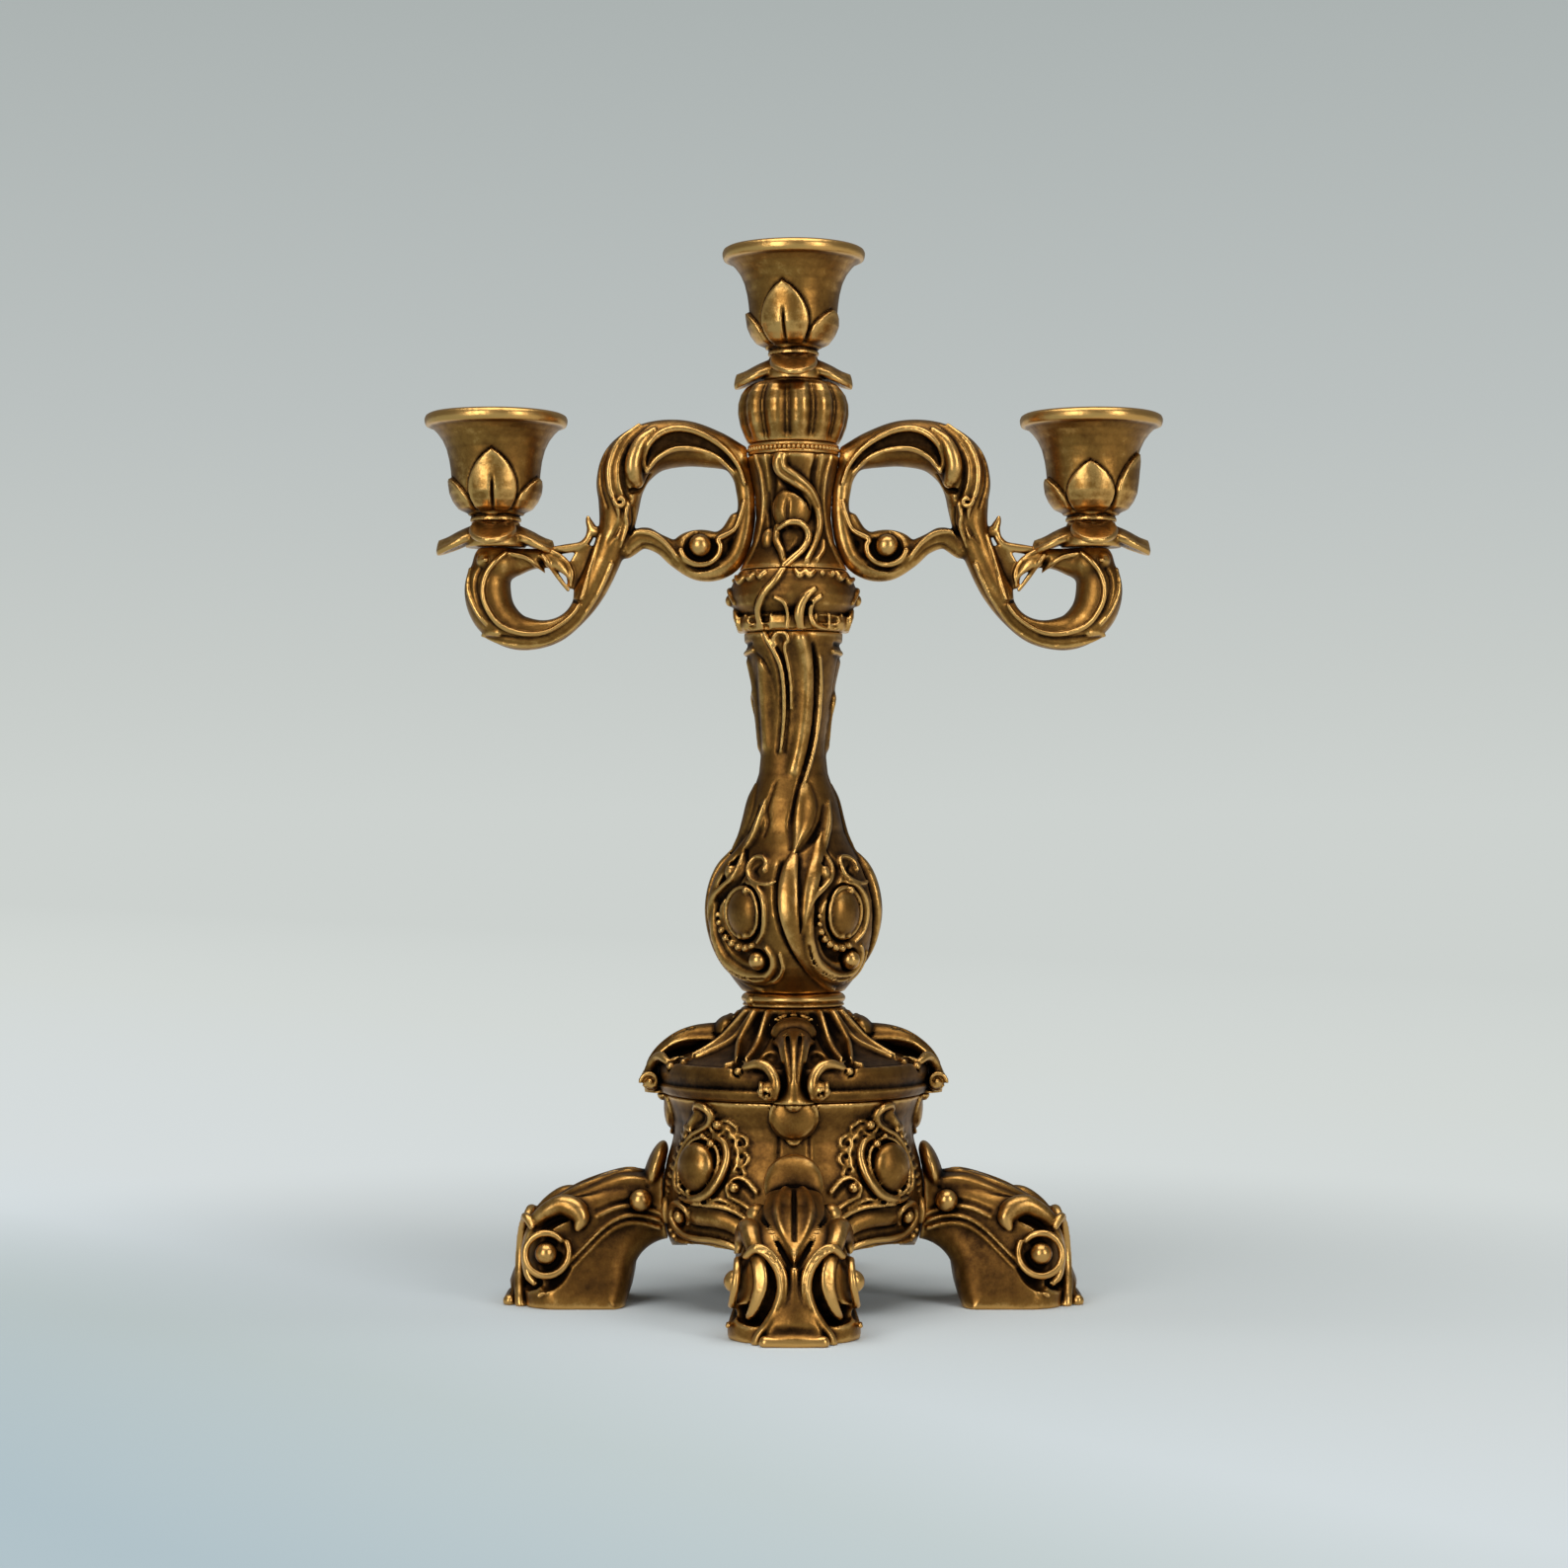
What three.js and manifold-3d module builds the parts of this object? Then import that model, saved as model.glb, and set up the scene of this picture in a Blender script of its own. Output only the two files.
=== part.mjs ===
// A three-light table candelabrum in cast, patinated brass, in millimetres with +Z up.
// The origin is on the table, under the stand's axis; the two side lights lie along X and the front foot points to -Y.
// It is a stack of castings threaded on one steel tie rod: a drum on four scroll feet, a lid, a collar, a
// baluster column, a round cap, the hub that carries the two branches, a beaded ring and a gadrooned knop.
import * as THREE from "three";
import { mergeVertices } from "three/addons/utils/BufferGeometryUtils.js";
import Module from "manifold-3d";

const wasm = await Module();
wasm.setup();

// ---------------------------------------------------------------- driving dimensions
const seam = 0.3; // hairline between two castings that seat on each other
const boltPlay = 0.3; // radial play of a screw, stud or rod in its hole
const lightCount = 4; // feet, cartouches, lid ridges and drip leaves all come in fours

// drum and lid
const skirtLevel = 20; // lower edge of the drum above the table
const drumHeight = 55;
const drumSkirtRadius = 44;
const drumBellyRadius = 47;
const drumWaistRadius = 42.8;
const drumTopRadius = 46.5;
const drumWall = 4.8;
const drumDeck = 4; // thickness of the drum's top plate
const medallionLevel = 31; // above the skirt
const medallionHalfWidth = 11;
const medallionHalfHeight = 14;
const medallionRise = 4.5;
// ornament cast on the drum: [across its face, share of the drum's height, half width, how far its middle stands off]
const drumCabochon = { across: 0.2, share: 0.578, halfWidth: 7.2, halfHeight: 9.1, rise: 3.3, tilt: 20 };
const drumTongue = { across: 0, share: 0.913, halfWidth: 7.8, halfHeight: 7.8, rise: 3.1, tilt: 0 };
const drumFrame = [
  [4, 0.793, 1.4, 0.2],
  [11.6, 0.673, 1.7, 0.2],
  [9.5, 0.455, 1.6, 0.2],
  [0, 0.369, 1.4, 0.2],
  [-9.6, 0.425, 1.2, 0.2],
  [-11.6, 0.618, 1.2, 0.2],
  [-2.5, 0.789, 1.3, 0.2],
  [4.4, 0.9, 1.7, 0.4],
  [-1.5, 0.956, 1.6, 0.3],
];
const apronBar = [
  [-12, 0.244, 2.2, -0.8],
  [-5, 0.258, 2.8, -1],
  [4, 0.265, 3.2, -1.2],
  [12, 0.244, 3.3, -1.2],
  [17.5, 0.155, 3, -1.2],
];
const lidHeight = 30.7;
const lidBandRadius = 49.5;
const lidBandHeight = 12;
const lidNeckRadius = 18;
const lidShell = 4;
const lidRidgeRise = 5;
const voluteRadius = 4.6;
const voluteWidth = 11;
const voluteReach = 50.5; // volute's centre from the axis

// feet
const footReach = 97; // toe of the foot from the axis
const footHeel = 58; // inner end of the sole from the axis
const footHalfWidth = 23.7;
const footCrestHalfWidth = 12;
const footShoulder = 48; // height of the foot's ridge where it leaves the drum
const footKnee = 36; // height of the ridge over the toe
const tongueLength = 7.3; // the tongue in front of the toe
const tongueHalfWidth = 10.5;
const crestDiscRadius = 11; // round leaf at the root of each foot
const footBallRadius = 4.2;

// collar, column and cap
const collarHeight = 5;
const collarRadius = 18.6;
const columnHeight = 129;
const columnFootRadius = 18.2;
const vaseRadius = 30.6;
const vaseLevel = 25; // widest place of the vase above the column's foot
const vaseSquareness = 0.16;
const waistRadius = 12;
const waistLevel = 85;
const columnTopRadius = 17.2;
const columnWall = 4.6;
const columnDeck = 8; // solid head of the hollow column
// ornament cast on the vase: a cabochon and a crescent on each face, a leaf up each corner. Marks are as on the
// drum, but for their height, which is taken from the vase's widest place
const vaseCabochon = { across: 0, up: 3.8, halfWidth: 6.9, halfHeight: 7.9, rise: 2.7, tilt: 0 };
const vaseCrescent = [
  [-15.6, 6.4, 1, -0.6],
  [-16.4, -2.6, 2.3, -0.5],
  [-12.2, -12.8, 2.9, -0.3],
  [-3.5, -18.2, 2.8, -0.3],
  [6, -18.8, 2.2, -0.3],
  [12, -12, 1.3, -0.1],
];
const cornerLeaf = [
  [13, -23, 1.2, 0],
  [6, -16, 1.8, 0],
  [0, -2.6, 3, 0],
  [-1.6, 11.4, 3.9, 0.2],
  [0.4, 24.4, 2.6, -0.2],
  [3.4, 35.4, 3.4, 0],
  [4.6, 46.4, 2.4, -0.4],
];
// a fold down the front and back of the shaft, with heights taken from the waist
const shaftFold = [
  [0.2, -5.6, 2.2, -1.2],
  [4.2, 15.4, 2.5, -1],
  [4.6, 27.4, 2.5, -1],
  [2.8, 40.4, 2.3, -0.8],
];
const capHeight = 22;
const capRadius = 23.4;
const capFootRadius = 19.8;
const capDeck = 5;
const capWall = 6;

// hub and branches
const hubHeight = 41;
const hubTopRadius = 16.8;
const hubWaistRadius = 13.5;
const hubFootRadius = 21.5;
const armReach = 107.5; // side lights from the axis
const armSeatRise = 8.1; // top of the branch's seat above the hub's foot
const armSeatRadius = 8.5;
const loopHalfWidth = 18; // the large open loop of the branch
const loopHalfHeight = 14;
const loopRise = 24.8; // its centre above the hub's foot
const armPadThickness = 4.6; // metal between hub and loop
const ringRadius = 10.7; // the small open ring under the side light
const ringSetBack = 15.5; // its centre, in from the light's axis
const ringDrop = 16.3; // its centre, below the seat
const branchBallRadius = 4.5;
const branchBallRise = 1.2; // ball's centre above the loop's lower edge
const studRadius = 1.5;
const studBite = 5; // length of the stud in the hub

// lights
const beadRingHeight = 4;
const beadRingRadius = 16.8;
const knopHeight = 22.5;
const knopRadius = 20.3;
const knopFootRadius = 16.2;
const knopNeckRadius = 9.5;
const gadroonCount = 12;
const leafHeight = 9;
const leafReach = 21;
const leafThickness = 2.2;
const leafNeckRadius = 9.4;
const cupHeight = 39;
const cupRimRadius = 26;
const cupBellyRadius = 16.6;
const cupNeckRadius = 9.2;
const cupRimThickness = 3.2;
const candleRadius = 11.4; // bore for a 22 mm candle
const candleDepth = 20;
const cupFloor = 8; // floor of the candle bore above the cup's foot
const petalCount = 5;
const petalRise = 0.9;

// steel
const rodRadius = 3;
const rodTail = 15; // rod below the drum's deck
const rodGrip = 12; // rod inside the knop
const nutRadius = 5.8;
const nutHeight = 5;
const washerRadius = 9;
const washerThickness = 1.6;
const screwRadius = 2;
const screwHeadRadius = 4;
const screwHeadHeight = 2.4;
const cupScrewBite = 6; // cup screw's length in the seat under the leaf
const footScrewBite = 9;
const footScrewLevel = 33;

// ---------------------------------------------------------------- levels along the axis
const rodHole = rodRadius + boltPlay;
const screwHole = screwRadius + boltPlay;
const headHole = screwHeadRadius + boltPlay;
const drumTop = skirtLevel + drumHeight;
const lidFoot = drumTop + seam;
const lidTop = lidFoot + lidHeight;
const collarFoot = lidTop + seam;
const columnFoot = collarFoot + collarHeight + seam;
const capFoot = columnFoot + columnHeight + seam;
const hubFoot = capFoot + capHeight + seam;
const beadRingFoot = hubFoot + hubHeight + seam;
const knopFoot = beadRingFoot + beadRingHeight + seam;
const knopTop = knopFoot + knopHeight;
const loopLevel = hubFoot + loopRise;
const armSeatLevel = hubFoot + armSeatRise;
const loopCentre = hubWaistRadius + seam + armPadThickness + loopHalfWidth;

// ---------------------------------------------------------------- finishes
const brass = new THREE.MeshStandardMaterial({ color: 0x8f6a35, roughness: 0.38, metalness: 0.95 });
const steel = new THREE.MeshStandardMaterial({ color: 0x8d9094, roughness: 0.35, metalness: 1 });

// ---------------------------------------------------------------- shaping
const bump = (t) => (Math.abs(t) < 1 ? Math.cos((t * Math.PI) / 2) ** 2 : 0);
const fromNearest = (angle, count, first = 0) => {
  const pitch = (2 * Math.PI) / count;
  return angle - first - pitch * Math.round((angle - first) / pitch);
};

function solidOf(geometry) {
  const bare = (geometry.index ? geometry.toNonIndexed() : geometry).clone();
  bare.deleteAttribute("normal");
  bare.deleteAttribute("uv");
  const merged = mergeVertices(bare, 1e-3);
  const triVerts = [];
  for (let i = 0; i < merged.index.count; i += 3) {
    const [a, b, c] = [0, 1, 2].map((k) => merged.index.getX(i + k));
    if (a !== b && b !== c && c !== a) triVerts.push(a, b, c);
  }
  return new wasm.Manifold(
    new wasm.Mesh({
      numProp: 3,
      vertProperties: new Float32Array(merged.attributes.position.array),
      triVerts: new Uint32Array(triVerts),
    }),
  );
}

function geometryOf(solid) {
  const mesh = solid.getMesh();
  const geometry = new THREE.BufferGeometry();
  geometry.setAttribute("position", new THREE.BufferAttribute(mesh.vertProperties, 3));
  geometry.setIndex(new THREE.BufferAttribute(mesh.triVerts, 1));
  geometry.computeVertexNormals();
  return geometry;
}

const joined = (first, ...rest) => rest.reduce((whole, next) => whole.add(next), first);
const cutBy = (first, ...rest) => rest.reduce((whole, next) => whole.subtract(next), first);

// A turned casting. The outline's [radius, height] points run up the outside and down the bore, and close on
// themselves or on the axis. The relief moves each point, given its radius, height and angle.
function turned(outline, sides, relief) {
  const points = outline.map(([r, z]) => new THREE.Vector2(r, z));
  if (outline[0][0] > 0) points.push(points[0].clone());
  const geometry = new THREE.LatheGeometry(points, sides).rotateX(Math.PI / 2);
  if (relief) {
    const at = geometry.attributes.position;
    for (let i = 0; i < at.count; i++) {
      const angle = Math.atan2(at.getY(i), at.getX(i));
      const [r, z] = relief(Math.hypot(at.getX(i), at.getY(i)), at.getZ(i), angle);
      at.setXYZ(i, r * Math.cos(angle), r * Math.sin(angle), z);
    }
  }
  return solidOf(geometry);
}

// A round bar along Z, from one height to the other.
const rod = (radius, from, to, sides = 20) =>
  solidOf(new THREE.CylinderGeometry(radius, radius, to - from, sides).rotateX(Math.PI / 2)).translate([
    0,
    0,
    (from + to) / 2,
  ]);

// A round bar along X, from one distance to the other.
const crossRod = (radius, from, to, sides = 16) => rod(radius, from, to, sides).rotate([0, 90, 0]);

const ball = (radius, x, y, z) => solidOf(new THREE.SphereGeometry(radius, 10, 6)).translate([x, y, z]);

// A plate cut to an outline of [x, z] points and spread evenly to both sides of the XZ plane.
function plate(outline, halfDepth) {
  const shape = new THREE.Shape(outline.map(([x, z]) => new THREE.Vector2(x, z)));
  const geometry = new THREE.ExtrudeGeometry(shape, { depth: 2 * halfDepth, bevelEnabled: false });
  return solidOf(geometry.translate(0, 0, -halfDepth).rotateX(Math.PI / 2));
}

// A cast bar swept along points. Sizes are its half thickness and half depth; out(point) is the way its depth runs.
function swept(points, sizes, steps, sides, out, first = 0.5) {
  const line = new THREE.CatmullRomCurve3(points);
  const size = new THREE.CatmullRomCurve3(sizes.map(([a, b]) => new THREE.Vector3(a, b, 0)));
  const rings = [];
  for (let i = 0; i <= steps; i++) {
    const centre = line.getPoint(i / steps);
    const along = line.getTangent(i / steps);
    const side = along.clone().cross(out(centre)).normalize();
    const up = side.clone().cross(along);
    const half = size.getPoint(i / steps);
    for (let k = 0; k < sides; k++) {
      const turn = ((k + first) / sides) * 2 * Math.PI;
      const spot = centre.clone().addScaledVector(side, half.x * Math.cos(turn));
      rings.push(...spot.addScaledVector(up, half.y * Math.sin(turn)).toArray());
    }
  }
  const faces = [];
  for (let i = 0; i < steps; i++)
    for (let k = 0; k < sides; k++) {
      const [a, b] = [i * sides + k, i * sides + ((k + 1) % sides)];
      faces.push(a, a + sides, b, b, a + sides, b + sides);
    }
  const last = steps * sides;
  for (let k = 1; k < sides - 1; k++) {
    faces.push(0, k, k + 1);
    faces.push(last, last + k + 1, last + k);
  }
  const geometry = new THREE.BufferGeometry();
  geometry.setAttribute("position", new THREE.Float32BufferAttribute(rings, 3));
  geometry.setIndex(faces);
  return solidOf(geometry);
}

// A cast bar in the XZ plane. Each station is [x, z, half thickness in the plane, half depth across it].
function bar(stations, steps, sides = 8) {
  const points = stations.map(([x, z]) => new THREE.Vector3(x, 0, z));
  const sizes = stations.map(([, , a, b]) => [a, b]);
  return swept(points, sizes, steps, sides, () => new THREE.Vector3(0, 1, 0));
}

// A point on a round casting as seen from straight in front of one of its faces. The skin is its radius by angle
// and height.
function onSkin(skin, face, across, z, proud) {
  let angle = face;
  for (let i = 0; i < 5; i++) angle = face + Math.asin(across / skin(angle, z));
  const r = skin(angle, z) + proud;
  return new THREE.Vector3(r * Math.cos(angle), r * Math.sin(angle), z);
}

// A raised line of ornament on a face: [across, height, half width, how far its middle stands off the skin].
function raised(skin, face, marks, steps, sides = 3, depth = 1) {
  const points = marks.map(([across, z, , proud]) => onSkin(skin, face, across, z, proud));
  const sizes = marks.map(([, , half]) => [half * 1.2, half * 1.2 * depth]);
  const out = (at) => new THREE.Vector3(at.x, at.y, 0).normalize();
  return swept(points, sizes, steps, sides, out, sides === 3 ? 0.75 : 0.5);
}

// A domed oval of metal on a face.
function cabochon(skin, face, level, { across, halfWidth, halfHeight, rise, tilt }) {
  const { x, y, z } = onSkin(skin, face, across, level, -0.5);
  return solidOf(new THREE.SphereGeometry(1, 8, 5))
    .scale([rise + 0.5, halfWidth, halfHeight])
    .rotate([-tilt, 0, 0])
    .rotate([0, 0, (face * 180) / Math.PI])
    .translate([x, y, z]);
}

// The radius of a turned outline at a height.
function outlineRadius(outline, z) {
  const k = Math.max(1, outline.findIndex(([, up]) => up >= z));
  const [[r0, z0], [r1, z1]] = [outline[k - 1], outline[k]];
  return r0 + ((r1 - r0) * (z - z0)) / (z1 - z0);
}

const stand = new THREE.Group();
function place(group, name, solid, material) {
  const mesh = new THREE.Mesh(geometryOf(solid), material);
  mesh.name = name;
  group.add(mesh);
  return mesh;
}

// ---------------------------------------------------------------- drum
// A hollow bell, open below, with a cast medallion on each corner between two feet.
const drumSides = 40;
const drumBore = drumWaistRadius - drumWall;
const drumOutside = (grow = 0) => [
  [drumSkirtRadius + grow, 0],
  [(drumSkirtRadius + drumBellyRadius) / 2 + 1 + grow, drumHeight * 0.2],
  [drumBellyRadius + grow, drumHeight * 0.42],
  [drumBellyRadius - 1.5 + grow, drumHeight * 0.56],
  [drumWaistRadius + grow, drumHeight * 0.72],
  [drumWaistRadius + 0.6 + grow, drumHeight * 0.84],
  [drumTopRadius + grow, drumHeight],
];

function medallionRelief(r, z, angle) {
  if (r <= drumBore + seam) return [r, z];
  const across = (fromNearest(angle, lightCount, Math.PI / 4) * drumBellyRadius) / medallionHalfWidth;
  const up = (z - medallionLevel) / medallionHalfHeight;
  return [r + medallionRise * bump(Math.min(1, Math.hypot(across, up) * 0.75)), z];
}

function drum() {
  const shell = turned(
    [
      ...drumOutside(),
      [rodHole, drumHeight],
      [rodHole, drumHeight - drumDeck],
      [drumBore, drumHeight - drumDeck],
      [drumBore, 0],
    ],
    drumSides,
    medallionRelief,
  );
  const holes = [];
  for (let k = 0; k < lightCount; k++)
    holes.push(
      crossRod(screwHole, drumBore - 1, drumBellyRadius + medallionRise, 12)
        .translate([0, 0, footScrewLevel - skirtLevel])
        .rotate([0, 0, (360 / lightCount) * k]),
    );
  const skin = (angle, z) => medallionRelief(outlineRadius(drumOutside(), z - skirtLevel), z - skirtLevel, angle)[0];
  const level = (share) => skirtLevel + share * drumHeight;
  const ornament = [];
  for (const side of [1, -1]) {
    // the drum's left and right faces mirror each other
    const marks = (line) => line.map(([across, share, ...rest]) => [side * across, level(share), ...rest]);
    const stone = { ...drumCabochon, across: side * drumCabochon.across, tilt: side * drumCabochon.tilt };
    for (const face of [side * (Math.PI / 4), -side * ((3 * Math.PI) / 4)]) {
      ornament.push(cabochon(skin, face, level(stone.share), stone));
      ornament.push(raised(skin, face, marks(drumFrame), 8));
      ornament.push(raised(skin, face, marks(apronBar), 4, 4));
    }
  }
  for (let k = 0; k < lightCount; k++)
    ornament.push(cabochon(skin, (k * Math.PI) / 2, level(drumTongue.share), drumTongue));
  const cast = joined(shell.translate([0, 0, skirtLevel]), ...ornament).trimByPlane([0, 0, -1], -drumTop);
  return cutBy(cast, joined(...holes).translate([0, 0, skirtLevel]));
}
place(stand, "drum", drum(), brass);

// ---------------------------------------------------------------- feet
// Each scroll foot is cast by itself, fitted to the drum and held by one screw from inside it.
function foot() {
  const side = plate(
    [
      [footHeel + 2, 0],
      [footHeel - 0.5, 5],
      [footHeel - 1, 12],
      [footHeel - 5, 18.5],
      [drumBellyRadius, 21.5],
      [drumBore, 22.5],
      [drumBore, footShoulder],
      [drumBellyRadius + 4, footShoulder],
      [footReach - 32, footShoulder - 4.7],
      [footReach - 14, footKnee + 1.8],
      [footReach - 8, footKnee - 1.5],
      [footReach - 4, footKnee - 7],
      [footReach - 1, footKnee - 15],
      [footReach, footKnee - 22],
      [footReach, 8],
      [footReach - 1, 0],
    ],
    footHalfWidth + 1,
  );
  const halfFront = [
    [footHalfWidth - 0.8, 0],
    [footHalfWidth, 3],
    [footHalfWidth - 2.5, 12],
    [footHalfWidth - 6, 24],
    [footCrestHalfWidth + 2.5, 36],
    [footCrestHalfWidth, footShoulder + 1],
  ];
  const front = plate([...halfFront, ...halfFront.map(([x, z]) => [-x, z]).reverse()], footReach).rotate([0, 0, 90]);
  const toe = footReach + tongueLength;
  const tongue = plate(
    [
      [footReach - 8, 0],
      [toe - 0.6, 0],
      [toe, 1.5],
      [toe - 1.6, 5],
      [footReach + 2, 9],
      [footReach, 16],
      [footReach - 8, 16],
    ],
    tongueHalfWidth,
  );
  const crest = ball(crestDiscRadius, 0, 0, 0)
    .scale([0.42, 1, 1])
    .rotate([0, -38, 0])
    .translate([drumBellyRadius + 3, 0, footShoulder]);
  const balls = [-1, 1].map((s) => ball(footBallRadius, footReach - 9, s * (footHalfWidth - 6.4), footKnee - 18.5));
  const outside = turned(
    [[0, -skirtLevel], [drumSkirtRadius + seam, -skirtLevel], ...drumOutside(seam), [0, drumHeight]],
    drumSides,
    medallionRelief,
  ).translate([0, 0, skirtLevel]);
  const screwEnd = drumBellyRadius + footScrewBite + 1;
  const screw = crossRod(screwHole, drumBore, screwEnd, 12).translate([0, 0, footScrewLevel]);
  return cutBy(joined(side.intersect(front), tongue, crest, ...balls), outside, screw);
}

function footScrew() {
  const head = crossRod(screwHeadRadius, drumBore - seam - screwHeadHeight, drumBore - seam, 16);
  const shank = crossRod(screwRadius, drumBore - seam - 1, drumBellyRadius + footScrewBite, 12);
  return joined(head, shank).translate([0, 0, footScrewLevel]);
}

const footNames = ["right", "back", "left", "front"];
footNames.forEach((name, k) => {
  const corner = new THREE.Group();
  corner.rotation.z = (k * 2 * Math.PI) / lightCount;
  stand.add(corner);
  place(corner, `foot_${name}`, foot(), brass);
  place(corner, `foot_screw_${name}`, footScrew(), steel);
});

// ---------------------------------------------------------------- lid
// The drum's shoulder: a round moulded band and a concave roof with four strap ridges that end in volutes.
function lid() {
  const band = lidBandHeight;
  const shell = turned(
    [
      [lidBandRadius - 2.5, 0],
      [lidBandRadius, 3.6],
      [lidBandRadius - 1, 4.4],
      [lidBandRadius - 0.4, 8],
      [lidBandRadius - 1.4, band],
      [lidBandRadius - 4, band + 0.6],
      [(lidBandRadius + lidNeckRadius) / 2, band + 4],
      [lidNeckRadius + 6, band + 9],
      [lidNeckRadius + 1.5, lidHeight - 4],
      [lidNeckRadius, lidHeight],
      [rodHole, lidHeight],
      [rodHole, lidHeight - lidShell],
      [lidNeckRadius - lidShell, lidHeight - lidShell],
      [lidBandRadius - 8, band - 2],
      [lidBandRadius - 8, 0],
    ],
    40,
    (r, z, angle) => {
      const onRoof = r > lidNeckRadius && z > band ? bump((r - 36) / 20) : 0;
      const strap = bump(fromNearest(angle, lightCount) / 0.3);
      return [r, z + lidRidgeRise * onRoof * strap];
    },
  );
  const volutes = [];
  for (let k = 0; k < lightCount; k++)
    volutes.push(
      rod(voluteRadius, -voluteWidth / 2, voluteWidth / 2, 12)
        .rotate([90, 0, 0])
        .translate([voluteReach, 0, lidBandHeight - 4])
        .rotate([0, 0, (360 / lightCount) * k]),
    );
  return joined(shell, ...volutes).translate([0, 0, lidFoot]);
}
place(stand, "lid", lid(), brass);

// ---------------------------------------------------------------- the turning part: column, hub, branches and lights
const upper = new THREE.Group();
stand.add(upper);

function collar() {
  const r = collarRadius;
  const h = collarHeight;
  return turned(
    [
      [r - 1.2, 0],
      [r, 0.9],
      [r - 0.8, 1.8],
      [r, 2.8],
      [r - 0.6, 4.3],
      [r - 1.8, h],
      [rodHole, h],
      [rodHole, 0],
    ],
    24,
  ).translate([0, 0, collarFoot]);
}
place(stand, "collar", collar(), brass);

// The baluster: a square-set vase below, a twisted shaft above.
const columnOutside = [
  [columnFootRadius, 0],
  [columnFootRadius + 1.6, 3],
  [vaseRadius * 0.78, 7],
  [vaseRadius * 0.92, 13],
  [vaseRadius * 0.98, 19],
  [vaseRadius, vaseLevel],
  [vaseRadius * 0.985, vaseLevel + 6],
  [vaseRadius * 0.92, vaseLevel + 13],
  [vaseRadius * 0.82, vaseLevel + 20],
  [(vaseRadius + waistRadius) * 0.485, vaseLevel + 26],
  [(vaseRadius + waistRadius) * 0.42, vaseLevel + 33],
  [waistRadius + 3.6, waistLevel - 16],
  [waistRadius + 0.8, waistLevel - 8],
  [waistRadius, waistLevel],
  [waistRadius + 0.6, waistLevel + 10],
  [(waistRadius + columnTopRadius) / 2, waistLevel + 20],
  [columnTopRadius, columnHeight - 5],
  [columnTopRadius - 0.4, columnHeight],
];

function columnRelief(r, z, angle) {
  const square = vaseSquareness * bump((z - vaseLevel) / (vaseLevel + 12)) * (1 - Math.cos(4 * angle)) * 0.5;
  const twist = 0.05 * bump((z - waistLevel) / 42) * Math.cos(3 * (angle + z * 0.02));
  return r * (1 - square + twist);
}

function column() {
  const core = [
    [0, -1],
    [columnFootRadius - columnWall, -1],
    [columnFootRadius - columnWall, 3],
    [vaseRadius * 0.84 - columnWall, vaseLevel - 5],
    [vaseRadius * 0.84 - columnWall, vaseLevel + 8],
    [vaseRadius * 0.6 - columnWall, vaseLevel + 30],
    [waistRadius - columnWall, waistLevel - 12],
    [waistRadius - columnWall, waistLevel + 4],
    [columnTopRadius - columnWall, columnHeight - columnDeck],
    [0, columnHeight - columnDeck],
  ];
  const outline = [[0, 0], ...columnOutside, [0, columnHeight]];
  const body = turned(outline, 24, (r, z, angle) => [columnRelief(r, z, angle), z]);
  const skin = (angle, z) => columnRelief(outlineRadius(columnOutside, z - columnFoot), z - columnFoot, angle);
  const fromVase = (up) => columnFoot + Math.max(1.5, vaseLevel + up);
  const fromWaist = (up) => columnFoot + Math.min(columnHeight - 3, waistLevel + up);
  const marks = (line, level) => line.map(([across, up, ...rest]) => [across, level(up), ...rest]);
  const ornament = [];
  for (let k = 0; k < 4; k++) {
    const corner = (k * Math.PI) / 2;
    ornament.push(cabochon(skin, corner + Math.PI / 4, fromVase(vaseCabochon.up), vaseCabochon));
    ornament.push(raised(skin, corner + Math.PI / 4, marks(vaseCrescent, fromVase), 6, 4));
    ornament.push(raised(skin, corner, marks(cornerLeaf, fromVase), 7, 3, 0.6));
    if (k % 2) ornament.push(raised(skin, corner, marks(shaftFold, fromWaist), 3));
  }
  const bore = joined(turned(core, 20), rod(rodHole, 0, columnHeight + 1, 16)).translate([0, 0, columnFoot]);
  return cutBy(joined(body.translate([0, 0, columnFoot]), ...ornament), bore);
}
place(upper, "column", column(), brass);

function cap() {
  return turned(
    [
      [capFootRadius - 1, 0],
      [capFootRadius + 1.6, 1.6],
      [capFootRadius + 1.6, 4],
      [capFootRadius, 5.4],
      [capRadius - 0.8, 8.5],
      [capRadius, 12.8],
      [capRadius - 1, 17.5],
      [capRadius - 3.8, capHeight],
      [rodHole, capHeight],
      [rodHole, capHeight - capDeck],
      [capRadius - capWall, capHeight - capDeck - 4],
      [capRadius - capWall, capHeight - capDeck - 8],
      [capFootRadius - capWall, 0],
    ],
    24,
  ).translate([0, 0, capFoot]);
}
place(upper, "cap", cap(), brass);

const hubSides = 24;
const hubOutside = (grow = 0) => [
  [hubFootRadius - 2 + grow, 0],
  [(hubFootRadius + hubWaistRadius) / 2 + grow, 4],
  [hubWaistRadius + 1.4 + grow, 10],
  [hubWaistRadius + grow, 19],
  [hubWaistRadius + 0.6 + grow, 28],
  [(hubWaistRadius + hubTopRadius) / 2 + 0.4 + grow, 35],
  [hubTopRadius + grow, hubHeight],
];
const studReach = hubWaistRadius + seam + armPadThickness - 1.4;

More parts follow.
